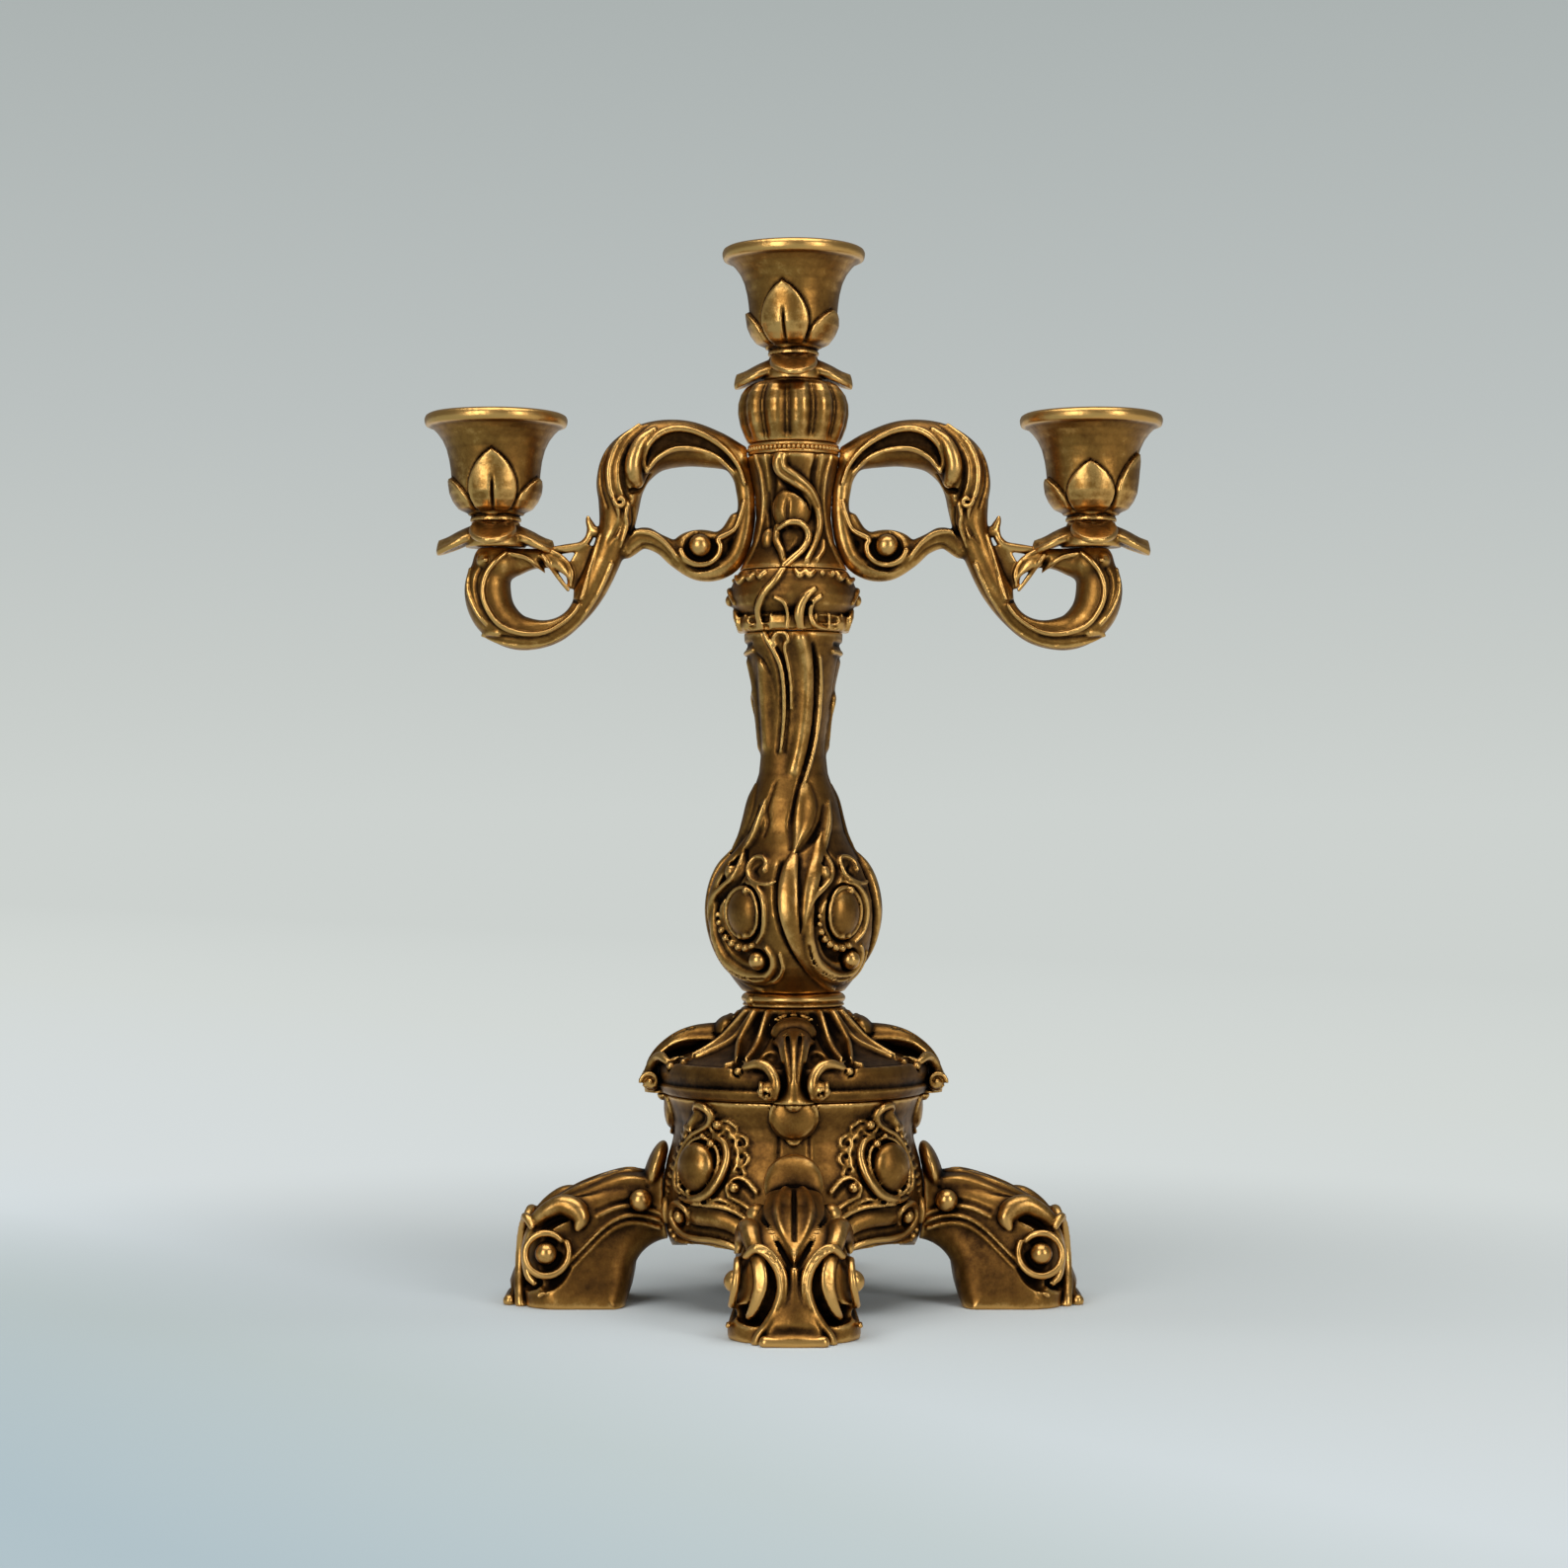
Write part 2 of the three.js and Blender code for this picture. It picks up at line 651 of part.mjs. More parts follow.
function hub() {
  const body = turned([...hubOutside(), [rodHole, hubHeight], [rodHole, 0]], hubSides);
  const holes = [0, 180].map((turn) =>
    crossRod(studRadius + boltPlay, hubWaistRadius - studBite - seam, hubWaistRadius + 6, 12)
      .translate([0, 0, loopRise])
      .rotate([0, 0, turn]),
  );
  return cutBy(body, ...holes).translate([0, 0, hubFoot]);
}
place(upper, "hub", hub(), brass);

// One branch, reaching to +X: a large loop against the hub, a stem, and a ring that carries the light.
function branch() {
  const around = (degrees, thickness, depth, bulge = thickness) => {
    const turn = THREE.MathUtils.degToRad(degrees);
    return [
      loopCentre + (loopHalfWidth + bulge) * Math.cos(turn),
      loopLevel + (loopHalfHeight + bulge) * Math.sin(turn),
      thickness,
      depth,
    ];
  };
  const ringX = armReach - ringSetBack;
  const ringZ = armSeatLevel - ringDrop;
  const ring = (degrees, thickness, depth) => {
    const turn = THREE.MathUtils.degToRad(degrees);
    const out = ringRadius + thickness;
    return [ringX + out * Math.cos(turn), ringZ + out * Math.sin(turn), thickness, depth];
  };
  const arch = bar(
    [
      around(142, 4.6, 5.5),
      around(118, 6.6, 7),
      around(92, 8.4, 8),
      around(64, 9, 8),
      around(35, 9, 8),
      around(8, 8.2, 7.5),
      around(-22, 6.8, 6.5),
      [loopCentre + loopHalfWidth + 13, ringZ + 12, 6, 6],
      ring(-166, 5, 6),
      ring(-130, 5, 6.5),
      ring(-90, 6, 7.5),
      ring(-45, 7.6, 8.5),
      ring(0, 8.6, 9),
      ring(42, 7, 9),
      ring(80, 4.4, 8),
      ring(112, 3.4, 6.5),
      ring(148, 2.4, 4),
    ],
    29,
  );
  const scroll = bar(
    [
      around(150, 2.8, 6.5, 2),
      around(180, 2.6, 7, 2.2),
      around(210, 2.8, 6.5, 3),
      around(238, 3.2, 5.5, 7),
      around(262, 3.6, 5, 10),
      around(288, 3.6, 5, 9),
      around(308, 3.4, 5, 4),
      around(326, 4, 5.5, 4),
    ],
    12,
    6,
  );
  const ballLevel = loopLevel - loopHalfHeight + branchBallRise;
  const eye = ball(branchBallRadius, loopCentre, 0, ballLevel);
  const curl = bar(
    [
      [loopCentre + 3, ballLevel - 10.5, 2.6, 4.4],
      [loopCentre - 4, ballLevel - 8, 2.4, 4.2],
      [loopCentre - 6, ballLevel - 3, 2, 4],
      [loopCentre - 2, ballLevel + 0.6, 2, 3.8],
    ],
    6,
    6,
  );
  const seat = rod(armSeatRadius, armSeatLevel - 9, armSeatLevel, 20).translate([armReach, 0, 0]);
  const aboveSeat = rod(leafReach + 2, armSeatLevel, armSeatLevel + 12, 20).translate([armReach, 0, 0]);
  const hubShape = turned([[0, 0], ...hubOutside(seam), [0, hubHeight]], hubSides).translate([0, 0, hubFoot]);
  const stud = crossRod(studRadius + boltPlay, 0, studReach + seam, 12).translate([0, 0, loopLevel]);
  const screw = rod(screwHole, armSeatLevel - cupScrewBite - 1, armSeatLevel + 1, 12).translate([armReach, 0, 0]);
  return cutBy(joined(arch, scroll, curl, eye, seat), hubShape, aboveSeat, stud, screw);
}

const stud = () => crossRod(studRadius, hubWaistRadius - studBite, studReach, 12).translate([0, 0, loopLevel]);

// ---------------------------------------------------------------- knop and its beaded ring
function beadRing() {
  const r = beadRingRadius;
  const h = beadRingHeight;
  return turned([[r - 1, 0], [r, 1], [r, h - 1], [r - 1, h], [rodHole, h], [rodHole, 0]], 24).translate([
    0,
    0,
    beadRingFoot,
  ]);
}
place(upper, "bead_ring", beadRing(), brass);

function knop() {
  const screwFloor = knopHeight - cupScrewBite - 1;
  return turned(
    [
      [0, rodGrip + seam],
      [rodHole, rodGrip + seam],
      [rodHole, 0],
      [knopFootRadius, 0],
      [knopFootRadius + 2, 3.5],
      [knopRadius - 0.4, 8],
      [knopRadius, 12],
      [knopRadius - 1.6, 17],
      [knopRadius - 5.5, 20.8],
      [knopNeckRadius, knopHeight],
      [screwHole, knopHeight],
      [screwHole, screwFloor],
      [0, screwFloor],
    ],
    gadroonCount * 2,
    (r, z, angle) => {
      const flute = Math.abs(fromNearest(angle, gadroonCount)) / (Math.PI / gadroonCount);
      const depth = r > knopNeckRadius ? 0.075 * bump((z - 11) / 11) * flute ** 2 : 0;
      return [r * (1 - depth), z];
    },
  ).translate([0, 0, knopFoot]);
}
place(upper, "knop", knop(), brass);

// ---------------------------------------------------------------- a light: drip leaf, cup and screw
function dripLeaf() {
  const top = leafHeight;
  const t = leafThickness;
  return turned(
    [
      [leafNeckRadius - 1, 0],
      [leafReach - 5, 0.4],
      [leafReach, 0.9],
      [leafReach, 0.9 + t * 0.5],
      [leafReach - 5, t + 2],
      [leafNeckRadius + 1, t + 3.6],
      [leafNeckRadius - 1.2, t + 4.6],
      [leafNeckRadius - 0.4, top],
      [screwHole, top],
      [screwHole, 0],
    ],
    24,
    (r, z, angle) => {
      const off = Math.abs(fromNearest(angle, lightCount)) / (Math.PI / lightCount);
      const pull = r > leafNeckRadius ? 0.36 * off ** 2 : 0;
      return [r - (r - leafNeckRadius) * pull * 1.4, z];
    },
  );
}

function cup() {
  const rim = cupRimRadius;
  const belly = cupBellyRadius;
  const mouth = cupFloor + candleDepth;
  return turned(
    [
      [cupNeckRadius, 0],
      [cupNeckRadius - 0.6, 1.8],
      [cupNeckRadius + 2.6, 3.6],
      [belly - 1.4, 9],
      [belly, 15],
      [belly + 1.6, 26],
      [rim - 4.4, 32],
      [rim - 1, cupHeight - cupRimThickness],
      [rim, cupHeight - 1.4],
      [rim - 1, cupHeight],
      [rim - 4, cupHeight],
      [rim - 7, cupHeight - 3.4],
      [candleRadius + 1.6, mouth + 1.5],
      [candleRadius, mouth - 1],
      [candleRadius, cupFloor],
      [headHole, cupFloor],
      [headHole, cupFloor - screwHeadHeight - seam],
      [screwHole, cupFloor - screwHeadHeight - seam],
      [screwHole, 0],
    ],
    petalCount * 5,
    (r, z, angle) => {
      if (r < candleRadius + 2.5 || z > 30 || z < 3) return [r, z];
      const off = Math.abs(fromNearest(angle, petalCount, -Math.PI / 2)) / (Math.PI / petalCount);
      const petalTop = 28 - 22 * off ** 2;
      return [r + (z < petalTop ? petalRise : -0.2), z];
    },
  );
}

function cupScrew() {
  const under = cupFloor - screwHeadHeight;
  const head = rod(screwHeadRadius, under, cupFloor - seam, 20);
  const shank = rod(screwRadius, -seam - leafHeight - seam - cupScrewBite, under + 1, 12);
  return joined(head, shank);
}

// A cup is turned a little about its screw until its petals look well, so no two stand alike.
function light(name, x, seatLevel, turn) {
  const leafFoot = seatLevel + seam;
  const cupFoot = leafFoot + leafHeight + seam;
  const group = new THREE.Group();
  group.position.x = x;
  group.rotation.z = turn;
  upper.add(group);
  place(group, `drip_leaf_${name}`, dripLeaf(), brass).position.z = leafFoot;
  place(group, `cup_${name}`, cup(), brass).position.z = cupFoot;
  place(group, `cup_screw_${name}`, cupScrew(), steel).position.z = cupFoot;
}
light("centre", 0, knopTop, 0);
light("right", armReach, armSeatLevel, Math.PI);
light("left", -armReach, armSeatLevel, 0);

["right", "left"].forEach((name, k) => {
  const side = new THREE.Group();
  side.rotation.z = Math.PI * k;
  upper.add(side);
  place(side, `branch_${name}`, branch(), brass);
  place(side, `branch_stud_${name}`, stud(), steel);
});

// ---------------------------------------------------------------- tie rod, washer and nut
const deckUnderside = drumTop - drumDeck;
const washerTop = deckUnderside - seam;
const nutTop = washerTop - washerThickness - seam;
place(upper, "tie_rod", rod(rodRadius, deckUnderside - rodTail, knopFoot + rodGrip, 24), steel);
const boredFor = (piece) => piece.subtract(rod(rodHole, 0, drumTop));
place(upper, "rod_washer", boredFor(rod(washerRadius, washerTop - washerThickness, washerTop, 24)), steel);
place(upper, "rod_nut", boredFor(rod(nutRadius, nutTop - nutHeight, nutTop, 6)), steel);

export default stand;
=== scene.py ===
"""A three-light table candelabrum in antique cast brass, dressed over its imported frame."""
import math
import bpy
import numpy as np
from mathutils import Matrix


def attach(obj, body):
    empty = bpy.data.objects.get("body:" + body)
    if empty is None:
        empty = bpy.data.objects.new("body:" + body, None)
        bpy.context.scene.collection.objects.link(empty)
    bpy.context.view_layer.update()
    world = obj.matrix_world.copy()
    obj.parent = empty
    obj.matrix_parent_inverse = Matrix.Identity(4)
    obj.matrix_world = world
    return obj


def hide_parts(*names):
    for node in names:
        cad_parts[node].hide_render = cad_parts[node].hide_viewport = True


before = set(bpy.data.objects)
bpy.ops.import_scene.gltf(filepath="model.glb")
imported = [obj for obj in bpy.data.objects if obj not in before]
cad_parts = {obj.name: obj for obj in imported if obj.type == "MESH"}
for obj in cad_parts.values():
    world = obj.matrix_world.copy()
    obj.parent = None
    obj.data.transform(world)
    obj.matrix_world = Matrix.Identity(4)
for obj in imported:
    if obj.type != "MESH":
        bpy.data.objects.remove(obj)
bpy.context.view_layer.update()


# ---------------------------------------------------------------- the studio
# A pale grey-blue sweep of paper, lit by a broad box overhead and two tall soft boxes in front. The camera
# stands a little below the stand's middle, as far back as the photograph's perspective says. The paper is
# painted darker and bluer towards the lower left, a painted shade, and fades into the wall far behind,
# which is painted darker towards the top, also a painted shade.
CAMERA_BACK = 1.176
CAMERA_HEIGHT = 0.177
CAMERA_ASIDE = -0.0034
CAMERA_TILT = math.radians(0.45)
CAMERA_LENS = 74.8
PAPER = "#D3D8D6"
WALL_AND_SHADE_STOPS = ((0.0, "#CDD2CF"), (0.04, "#C7CCC9"), (0.12, "#BBC1C0"), (0.24, "#ACB3B2"))
ROOM_DIMNESS = 0.30
LAMPS = (("overhead", (0.0, -0.2, 1.35), (1.3, 0.9), 11.0),
         ("left_box", (-0.75, -1.35, 0.55), (0.6, 1.1), 9.0),
         ("right_box", (1.0, -1.2, 0.6), (0.45, 1.0), 7.0))
LAMP_AIM = (0, 0, 0.2)
FLOOR_RADIUS = 9.0
FLOOR_FADE = (0.13, 0.50)
FLOOR_SLANT = (1.0, 0.8, 0.0)
FLOOR_SPAN = (-0.5, 2.5)
PAPER_AND_SHADE_STOPS = ((0.01, "#B2C3CA"), (0.077, "#C5D0D1"), (0.123, "#D5DDE0"), (0.175, "#D6DCDD"),
               (0.5, "#D3D8D5"), (1.0, "#CDD2CF"))


def linear(code):
    """A colour written as sRGB hex, as the linear values that a socket takes."""
    parts = [int(code[k:k + 2], 16) / 255 for k in (1, 3, 5)]
    return [p / 12.92 if p <= 0.04045 else ((p + 0.055) / 1.055) ** 2.4 for p in parts] + [1.0]


def node(tree, kind, settings=None, **links):
    """Add a node: settings are its properties, and links are sockets by name or number, as values or
    outputs."""
    made = tree.nodes.new(kind)
    for key, value in (settings or {}).items():
        setattr(made, key, value)
    for key, value in links.items():
        by_number = key[0] == "i" and key[1:].isdigit()
        socket = made.inputs[int(key[1:]) if by_number else key.replace("_", " ")]
        if isinstance(value, bpy.types.NodeSocket):
            tree.links.new(value, socket)
        else:
            socket.default_value = value
    return made


def ramp(tree, level, stops):
    """A colour that runs through the given stops as the level rises."""
    made = node(tree, "ShaderNodeValToRGB", Fac=level)
    first, last = made.color_ramp.elements
    first.position, first.color = stops[0][0], linear(stops[0][1])
    last.position, last.color = stops[-1][0], linear(stops[-1][1])
    for place, colour in stops[1:-1]:
        made.color_ramp.elements.new(place).color = linear(colour)
    return made.outputs["Color"]


def studio():
    scene = bpy.context.scene
    scene.view_settings.view_transform = "Standard"
    world = bpy.data.worlds.new("studio")
    scene.world = world
    world.use_nodes = True
    tree = world.node_tree
    tree.nodes.clear()
    seen = node(tree, "ShaderNodeLightPath").outputs["Is Camera Ray"]
    way = node(tree, "ShaderNodeTexCoord").outputs["Generated"]
    rise = node(tree, "ShaderNodeSeparateXYZ", i0=way).outputs["Z"]
    # The wall is painted darker towards the top: painted shade of the lamps' light falling off.
    wall = node(tree, "ShaderNodeBackground", Color=ramp(tree, rise, WALL_AND_SHADE_STOPS)).outputs[0]
    room = node(tree, "ShaderNodeBackground", Color=linear(PAPER), Strength=ROOM_DIMNESS).outputs[0]
    both = node(tree, "ShaderNodeMixShader", i0=seen, i1=room, i2=wall).outputs[0]
    node(tree, "ShaderNodeOutputWorld", Surface=both)

    camera = bpy.data.objects.new("camera", bpy.data.cameras.new("camera"))
    camera.data.lens = CAMERA_LENS
    camera.data.sensor_width = 36
    camera.location = (CAMERA_ASIDE, -CAMERA_BACK, CAMERA_HEIGHT)
    camera.rotation_euler = (math.pi / 2 + CAMERA_TILT, 0, 0)
    scene.collection.objects.link(camera)
    scene.camera = camera

    for name, place, size, watts in LAMPS:
        lamp = bpy.data.objects.new(name, bpy.data.lights.new(name, "AREA"))
        lamp.data.shape = "RECTANGLE"
        lamp.data.size, lamp.data.size_y = size
        lamp.data.energy = watts
        lamp.location = place
        aim = np.array(LAMP_AIM) - place
        lamp.rotation_euler = (math.atan2(math.hypot(aim[0], aim[1]), -aim[2]), 0,
                               math.atan2(aim[0], -aim[1]) + math.pi)
        scene.collection.objects.link(lamp)

    mesh = bpy.data.meshes.new("floor")
    rim = [(FLOOR_RADIUS * math.cos(a), FLOOR_RADIUS * math.sin(a), 0)
           for a in np.linspace(0, 2 * math.pi, 64, False)]
    mesh.from_pydata(rim, [], [list(range(len(rim)))])
    floor = bpy.data.objects.new("floor", mesh)
    scene.collection.objects.link(floor)
    paper = bpy.data.materials.new("matt_paper")
    paper.use_nodes = True
    tree = paper.node_tree
    tree.nodes.clear()
    where = node(tree, "ShaderNodeTexCoord").outputs["Object"]
    far = node(tree, "ShaderNodeVectorMath", {"operation": "LENGTH"}, i0=where).outputs["Value"]
    fade = node(tree, "ShaderNodeMapRange", {"interpolation_type": "SMOOTHSTEP"}, Value=far,
                From_Min=FLOOR_FADE[0], From_Max=FLOOR_FADE[1]).outputs["Result"]
    slant = node(tree, "ShaderNodeVectorMath", {"operation": "DOT_PRODUCT"}, i0=where,
                 i1=FLOOR_SLANT).outputs["Value"]
    share = node(tree, "ShaderNodeMapRange", Value=slant, From_Min=FLOOR_SPAN[0],
                 From_Max=FLOOR_SPAN[1]).outputs["Result"]
    # The paper is painted darker and bluer towards the lower left: painted shade over the paper's own pale
    # grey.
    paper_and_shade = ramp(tree, share, PAPER_AND_SHADE_STOPS)
    near_paper = node(tree, "ShaderNodeBsdfDiffuse", Color=paper_and_shade).outputs["BSDF"]
    far_paper = node(tree, "ShaderNodeEmission", Color=paper_and_shade).outputs["Emission"]
    blend = node(tree, "ShaderNodeMixShader", i0=fade, i1=near_paper, i2=far_paper).outputs["Shader"]
    node(tree, "ShaderNodeOutputMaterial", Surface=blend)
    mesh.materials.append(paper)


studio()


# ---------------------------------------------------------------- the drum
# The heart of the base is one hollow casting, bored for the tie rod and open below. Its faces are plain and
# mottled, with an oval cabochon in a shell frame at each corner and a scrolled apron along the lower edge.
MM = 0.001
DRUM_OUTSIDE = [(0, 20), (43.6, 20), (45.2, 24), (46.4, 30), (47.0, 38), (46.8, 44), (45.6, 51), (43.8, 57),
                (42.9, 61), (43.1, 66), (44.4, 70.5), (46.0, 75), (0, 75)]
DRUM_BORE = 38.0
DRUM_DECK = 71.0
ROD_HOLE = 3.3
SCREW_HOLE = 2.3
FOOT_SCREW_LEVEL = 33.0
OVAL_TILT = math.radians(20)

# Cast brass, patinated brown and rubbed back by hand. The castings carry how hollow or proud each point is.
PATINA_STOPS = ((0.34, "#CFA05C"), (0.41, "#936932"), (0.49, "#6E4B22"), (0.57, "#402A15"),
                (0.66, "#0E0805"))
MOTTLE_MM = 14.0
WEAR_MM = 3.2
CAST_GRAIN_MM = 0.7


def patinated_brass():
    """Dark in the hollows, warm brown-gold on the faces and pale bare metal along the ridges."""
    metal = bpy.data.materials.new("patinated_brass")
    metal.use_nodes = True
    tree = metal.node_tree
    tree.nodes.clear()
    where = node(tree, "ShaderNodeTexCoord").outputs["Object"]
    hollow = node(tree, "ShaderNodeAttribute", {"attribute_name": "hollow"}).outputs["Fac"]
    deep = node(tree, "ShaderNodeAttribute", {"attribute_name": "deep"}).outputs["Fac"]
    # A set amount per casting, painted shade for where it stands in the light: the lid and feet are painted
    # darker, and the cups lighter, a painted highlight.
    painted_shade = node(tree, "ShaderNodeAttribute", {"attribute_name": "painted_shade"}).outputs["Fac"]
    mottle = node(tree, "ShaderNodeTexNoise", Vector=where, Scale=1 / (MOTTLE_MM * MM), Detail=4.0,
                  Roughness=0.62).outputs["Fac"]
    wear = node(tree, "ShaderNodeTexNoise", Vector=where, Scale=1 / (WEAR_MM * MM), Detail=4.0,
                Roughness=0.7).outputs["Fac"]
    speck = node(tree, "ShaderNodeTexNoise", Vector=where, Scale=1 / (CAST_GRAIN_MM * MM),
                 Detail=3.0).outputs["Fac"]
    level = node(tree, "ShaderNodeMath", {"operation": "MULTIPLY_ADD"}, i0=deep, i1=0.46,
                 i2=-0.372).outputs[0]
    for layer, share in ((painted_shade, 1.0), (hollow, 0.78), (mottle, 0.25), (wear, 0.15), (speck, 0.05)):
        level = node(tree, "ShaderNodeMath", {"operation": "MULTIPLY_ADD"}, i0=layer, i1=share,
                     i2=level).outputs[0]
    rough = node(tree, "ShaderNodeMapRange", Value=level, From_Min=0.38, From_Max=0.66, To_Min=0.30,
                 To_Max=0.62).outputs["Result"]
    dents = node(tree, "ShaderNodeMath", {"operation": "MULTIPLY_ADD"}, i0=wear, i1=0.3,
                 i2=mottle).outputs[0]
    bump = node(tree, "ShaderNodeBump", Strength=0.5, Distance=0.0006, Height=dents).outputs["Normal"]
    metal_shader = node(tree, "ShaderNodeBsdfPrincipled", Base_Color=ramp(tree, level, PATINA_STOPS),
                        Metallic=1.0, Roughness=rough, Normal=bump).outputs["BSDF"]
    node(tree, "ShaderNodeOutputMaterial", Surface=metal_shader)
    return metal


BRASS = patinated_brass()

# Each casting starts as a wax model: turned bodies, rolled strands, flat ribbons and pellets pressed
# together, with grooves cut into them. Sizes are in millimetres. The wax is held as the distance from its
# skin.
FAR = 12.0  # the farthest that the wax looks for its skin


def smooth(path, spacing=0.9):
    """A path through the given points; further columns, such as a strand's radius, go along with it."""
    p = np.asarray(path, float)
    p = np.vstack([2 * p[0] - p[1], p, 2 * p[-1] - p[-2]])
    rows = []
    for a, b, c, d in zip(p[:-3], p[1:-2], p[2:-1], p[3:]):
        steps = max(2, int(np.linalg.norm((c - b)[:3]) / spacing) + 1)
        t = np.linspace(0, 1, steps, endpoint=False)[:, None]
        rows.append(0.5 * (2 * b + (c - a) * t + (2 * a - 5 * b + 4 * c - d) * t ** 2
                           + (3 * b - a - 3 * c + d) * t ** 3))
    return np.vstack(rows + [p[-2:-1]])


def soft_min(a, b, blend):
    """The lesser of two distances, rounded over where they meet."""
    if blend <= 0:
        return np.minimum(a, b)
    h = np.maximum(blend - np.abs(a - b), 0) / blend
    return np.minimum(a, b) - h * h * blend / 4


class Wax:
    def __init__(self, low, high, grain=0.6):
        self.grain = grain
        self.axes = [a + grain * np.arange(int(math.ceil((b - a) / grain)) + 1) for a, b in zip(low, high)]
        self.skin = np.full([len(a) for a in self.axes], FAR, np.float32)

    def box(self, low, high):
        """The grid points in a box: their slices, and their coordinates ready to combine."""
        cut = tuple(slice(int(np.searchsorted(a, l)), int(np.searchsorted(a, h, "right")))
                    for a, l, h in zip(self.axes, low, high))
        x, y, z = (a[c] for a, c in zip(self.axes, cut))
        return cut, (x[:, None, None].astype(np.float32), y[None, :, None].astype(np.float32),
                     z[None, None, :].astype(np.float32))

    def everywhere(self):
        return self.box([a[0] for a in self.axes], [a[-1] for a in self.axes])

    def press(self, cut, lump, blend=0.0, carve=False):
        """Press a lump onto the wax, or cut its shape out of it."""
        skin = self.skin[cut]
        self.skin[cut] = -soft_min(-skin, lump, blend) if carve else soft_min(skin, lump, blend)

    def turn(self, outline, relief=None, blend=0.0, carve=False, centre=(0, 0)):
        """A turned body from a closed outline of [radius, height]; relief gives how far it stands proud by
        angle and height."""
        points = np.asarray(outline, float)
        cut, (x, y, z) = self.everywhere()
        step = self.grain / 2
        r = np.arange(0, np.hypot(np.abs(x - centre[0]).max(), np.abs(y - centre[1]).max()) + 3 * step, step)
        rr, zz = np.meshgrid(r, z.ravel(), indexing="ij")
        near = np.full(rr.shape, 1e9)
        inside = np.zeros(rr.shape, bool)
        for (ar, az), (br, bz) in zip(points, np.roll(points, -1, 0)):
            dr, dz = br - ar, bz - az
            t = np.clip(((rr - ar) * dr + (zz - az) * dz) / max(dr * dr + dz * dz, 1e-9), 0, 1)
            if ar > 1e-6 or br > 1e-6:
                near = np.minimum(near, np.hypot(rr - ar - t * dr, zz - az - t * dz))
            if az != bz:
                inside ^= ((az > zz) != (bz > zz)) & (rr < ar + (zz - az) * dr / dz)
        table = np.where(inside, -near, near).astype(np.float32)
        radius = np.hypot(x - centre[0], y - centre[1])
        if relief is not None:
            radius = np.maximum(radius - relief(np.arctan2(y - centre[1], x - centre[0]), z), 0)
        radius = np.broadcast_to(radius, [len(a) for a in self.axes]) / step
        row = np.minimum(radius.astype(np.int32), len(r) - 2)
        part = radius - row
        level = np.arange(len(self.axes[2]))[None, None, :]
        lump = table[row, level] * (1 - part) + table[row + 1, level] * part
        self.press(cut, lump.astype(np.float32), blend, carve)

    def strand(self, path, blend=0.7, carve=False, face=None, cup=0.0):
        """A rolled strand, x, y, z and radius; with a face it is a flat ribbon, x, y, z, half width, half
        thickness. The face is the way the ribbon looks, and cup dishes it."""
        line = smooth(path).astype(np.float32)
        reach = line[:, 3:].max() + blend + abs(cup) + 2 * self.grain
        cut, _ = self.box(line[:, :3].min(0) - reach, line[:, :3].max(0) + reach)
        lump = np.full([c.stop - c.start for c in cut], FAR, np.float32)
        for a, b in zip(line[:-1], line[1:]):
            reach = max(a[3:].max(), b[3:].max()) + blend + abs(cup) + 1.5 * self.grain
            inner, (x, y, z) = self.box(np.minimum(a, b)[:3] - reach, np.maximum(a, b)[:3] + reach)
            if any(c.stop <= c.start for c in inner):
                continue
            d = b[:3] - a[:3]
            x, y, z = x - a[0], y - a[1], z - a[2]
            t = np.clip((x * d[0] + y * d[1] + z * d[2]) / max(float(d @ d), 1e-9), 0, 1)
            x, y, z = x - t * d[0], y - t * d[1], z - t * d[2]
            away = x * x + y * y + z * z
            if face is None:
                local = np.sqrt(away) - (a[3] + t * (b[3] - a[3]))
            else:
                n = face(a[:3]) if callable(face) else np.asarray(face, float)
                n = n / np.linalg.norm(n)
                lift = x * n[0] + y * n[1] + z * n[2]
                side = np.sqrt(np.maximum(away - lift * lift, 0))
                wide = a[3] + t * (b[3] - a[3])
                thick = a[4] + t * (b[4] - a[4])
                lift = lift - cup * (side / wide) ** 2
                edge = 0.6 * np.minimum(wide, thick)
                q, s = side - wide + edge, np.abs(lift) - thick + edge
                local = np.hypot(np.maximum(q, 0), np.maximum(s, 0)) + np.minimum(np.maximum(q, s), 0) - edge
            at = tuple(slice(i.start - c.start, i.stop - c.start) for i, c in zip(inner, cut))
            lump[at] = np.minimum(lump[at], local)
        self.press(cut, lump, blend, carve)

    def pellet(self, centre, radii, blend=0.7, carve=False, axes=None):
        """A round or egg-shaped pellet; axes are its three directions, one a row."""
        radii = np.broadcast_to(np.asarray(radii, np.float32), 3)
        centre = np.asarray(centre, np.float32)
        reach = radii.max() + blend + 2 * self.grain
        cut, (x, y, z) = self.box(centre - reach, centre + reach)
        if any(c.stop <= c.start for c in cut):
            return
        x, y, z = x - centre[0], y - centre[1], z - centre[2]
        turned = np.eye(3) if axes is None else np.asarray(axes, float)
        u, v, w = ((x * t[0] + y * t[1] + z * t[2]) for t in turned)
        k0 = np.sqrt((u / radii[0]) ** 2 + (v / radii[1]) ** 2 + (w / radii[2]) ** 2)
        k1 = np.sqrt((u / radii[0] ** 2) ** 2 + (v / radii[1] ** 2) ** 2 + (w / radii[2] ** 2) ** 2)
        self.press(cut, (k0 * (k0 - 1) / np.maximum(k1, 1e-6)).astype(np.float32), blend, carve)

    def bore(self, radius, low, high, centre=(0, 0)):
        """A round upright hole."""
        self.turn([(0, low), (radius, low), (radius, high), (0, high)], carve=True, centre=centre)

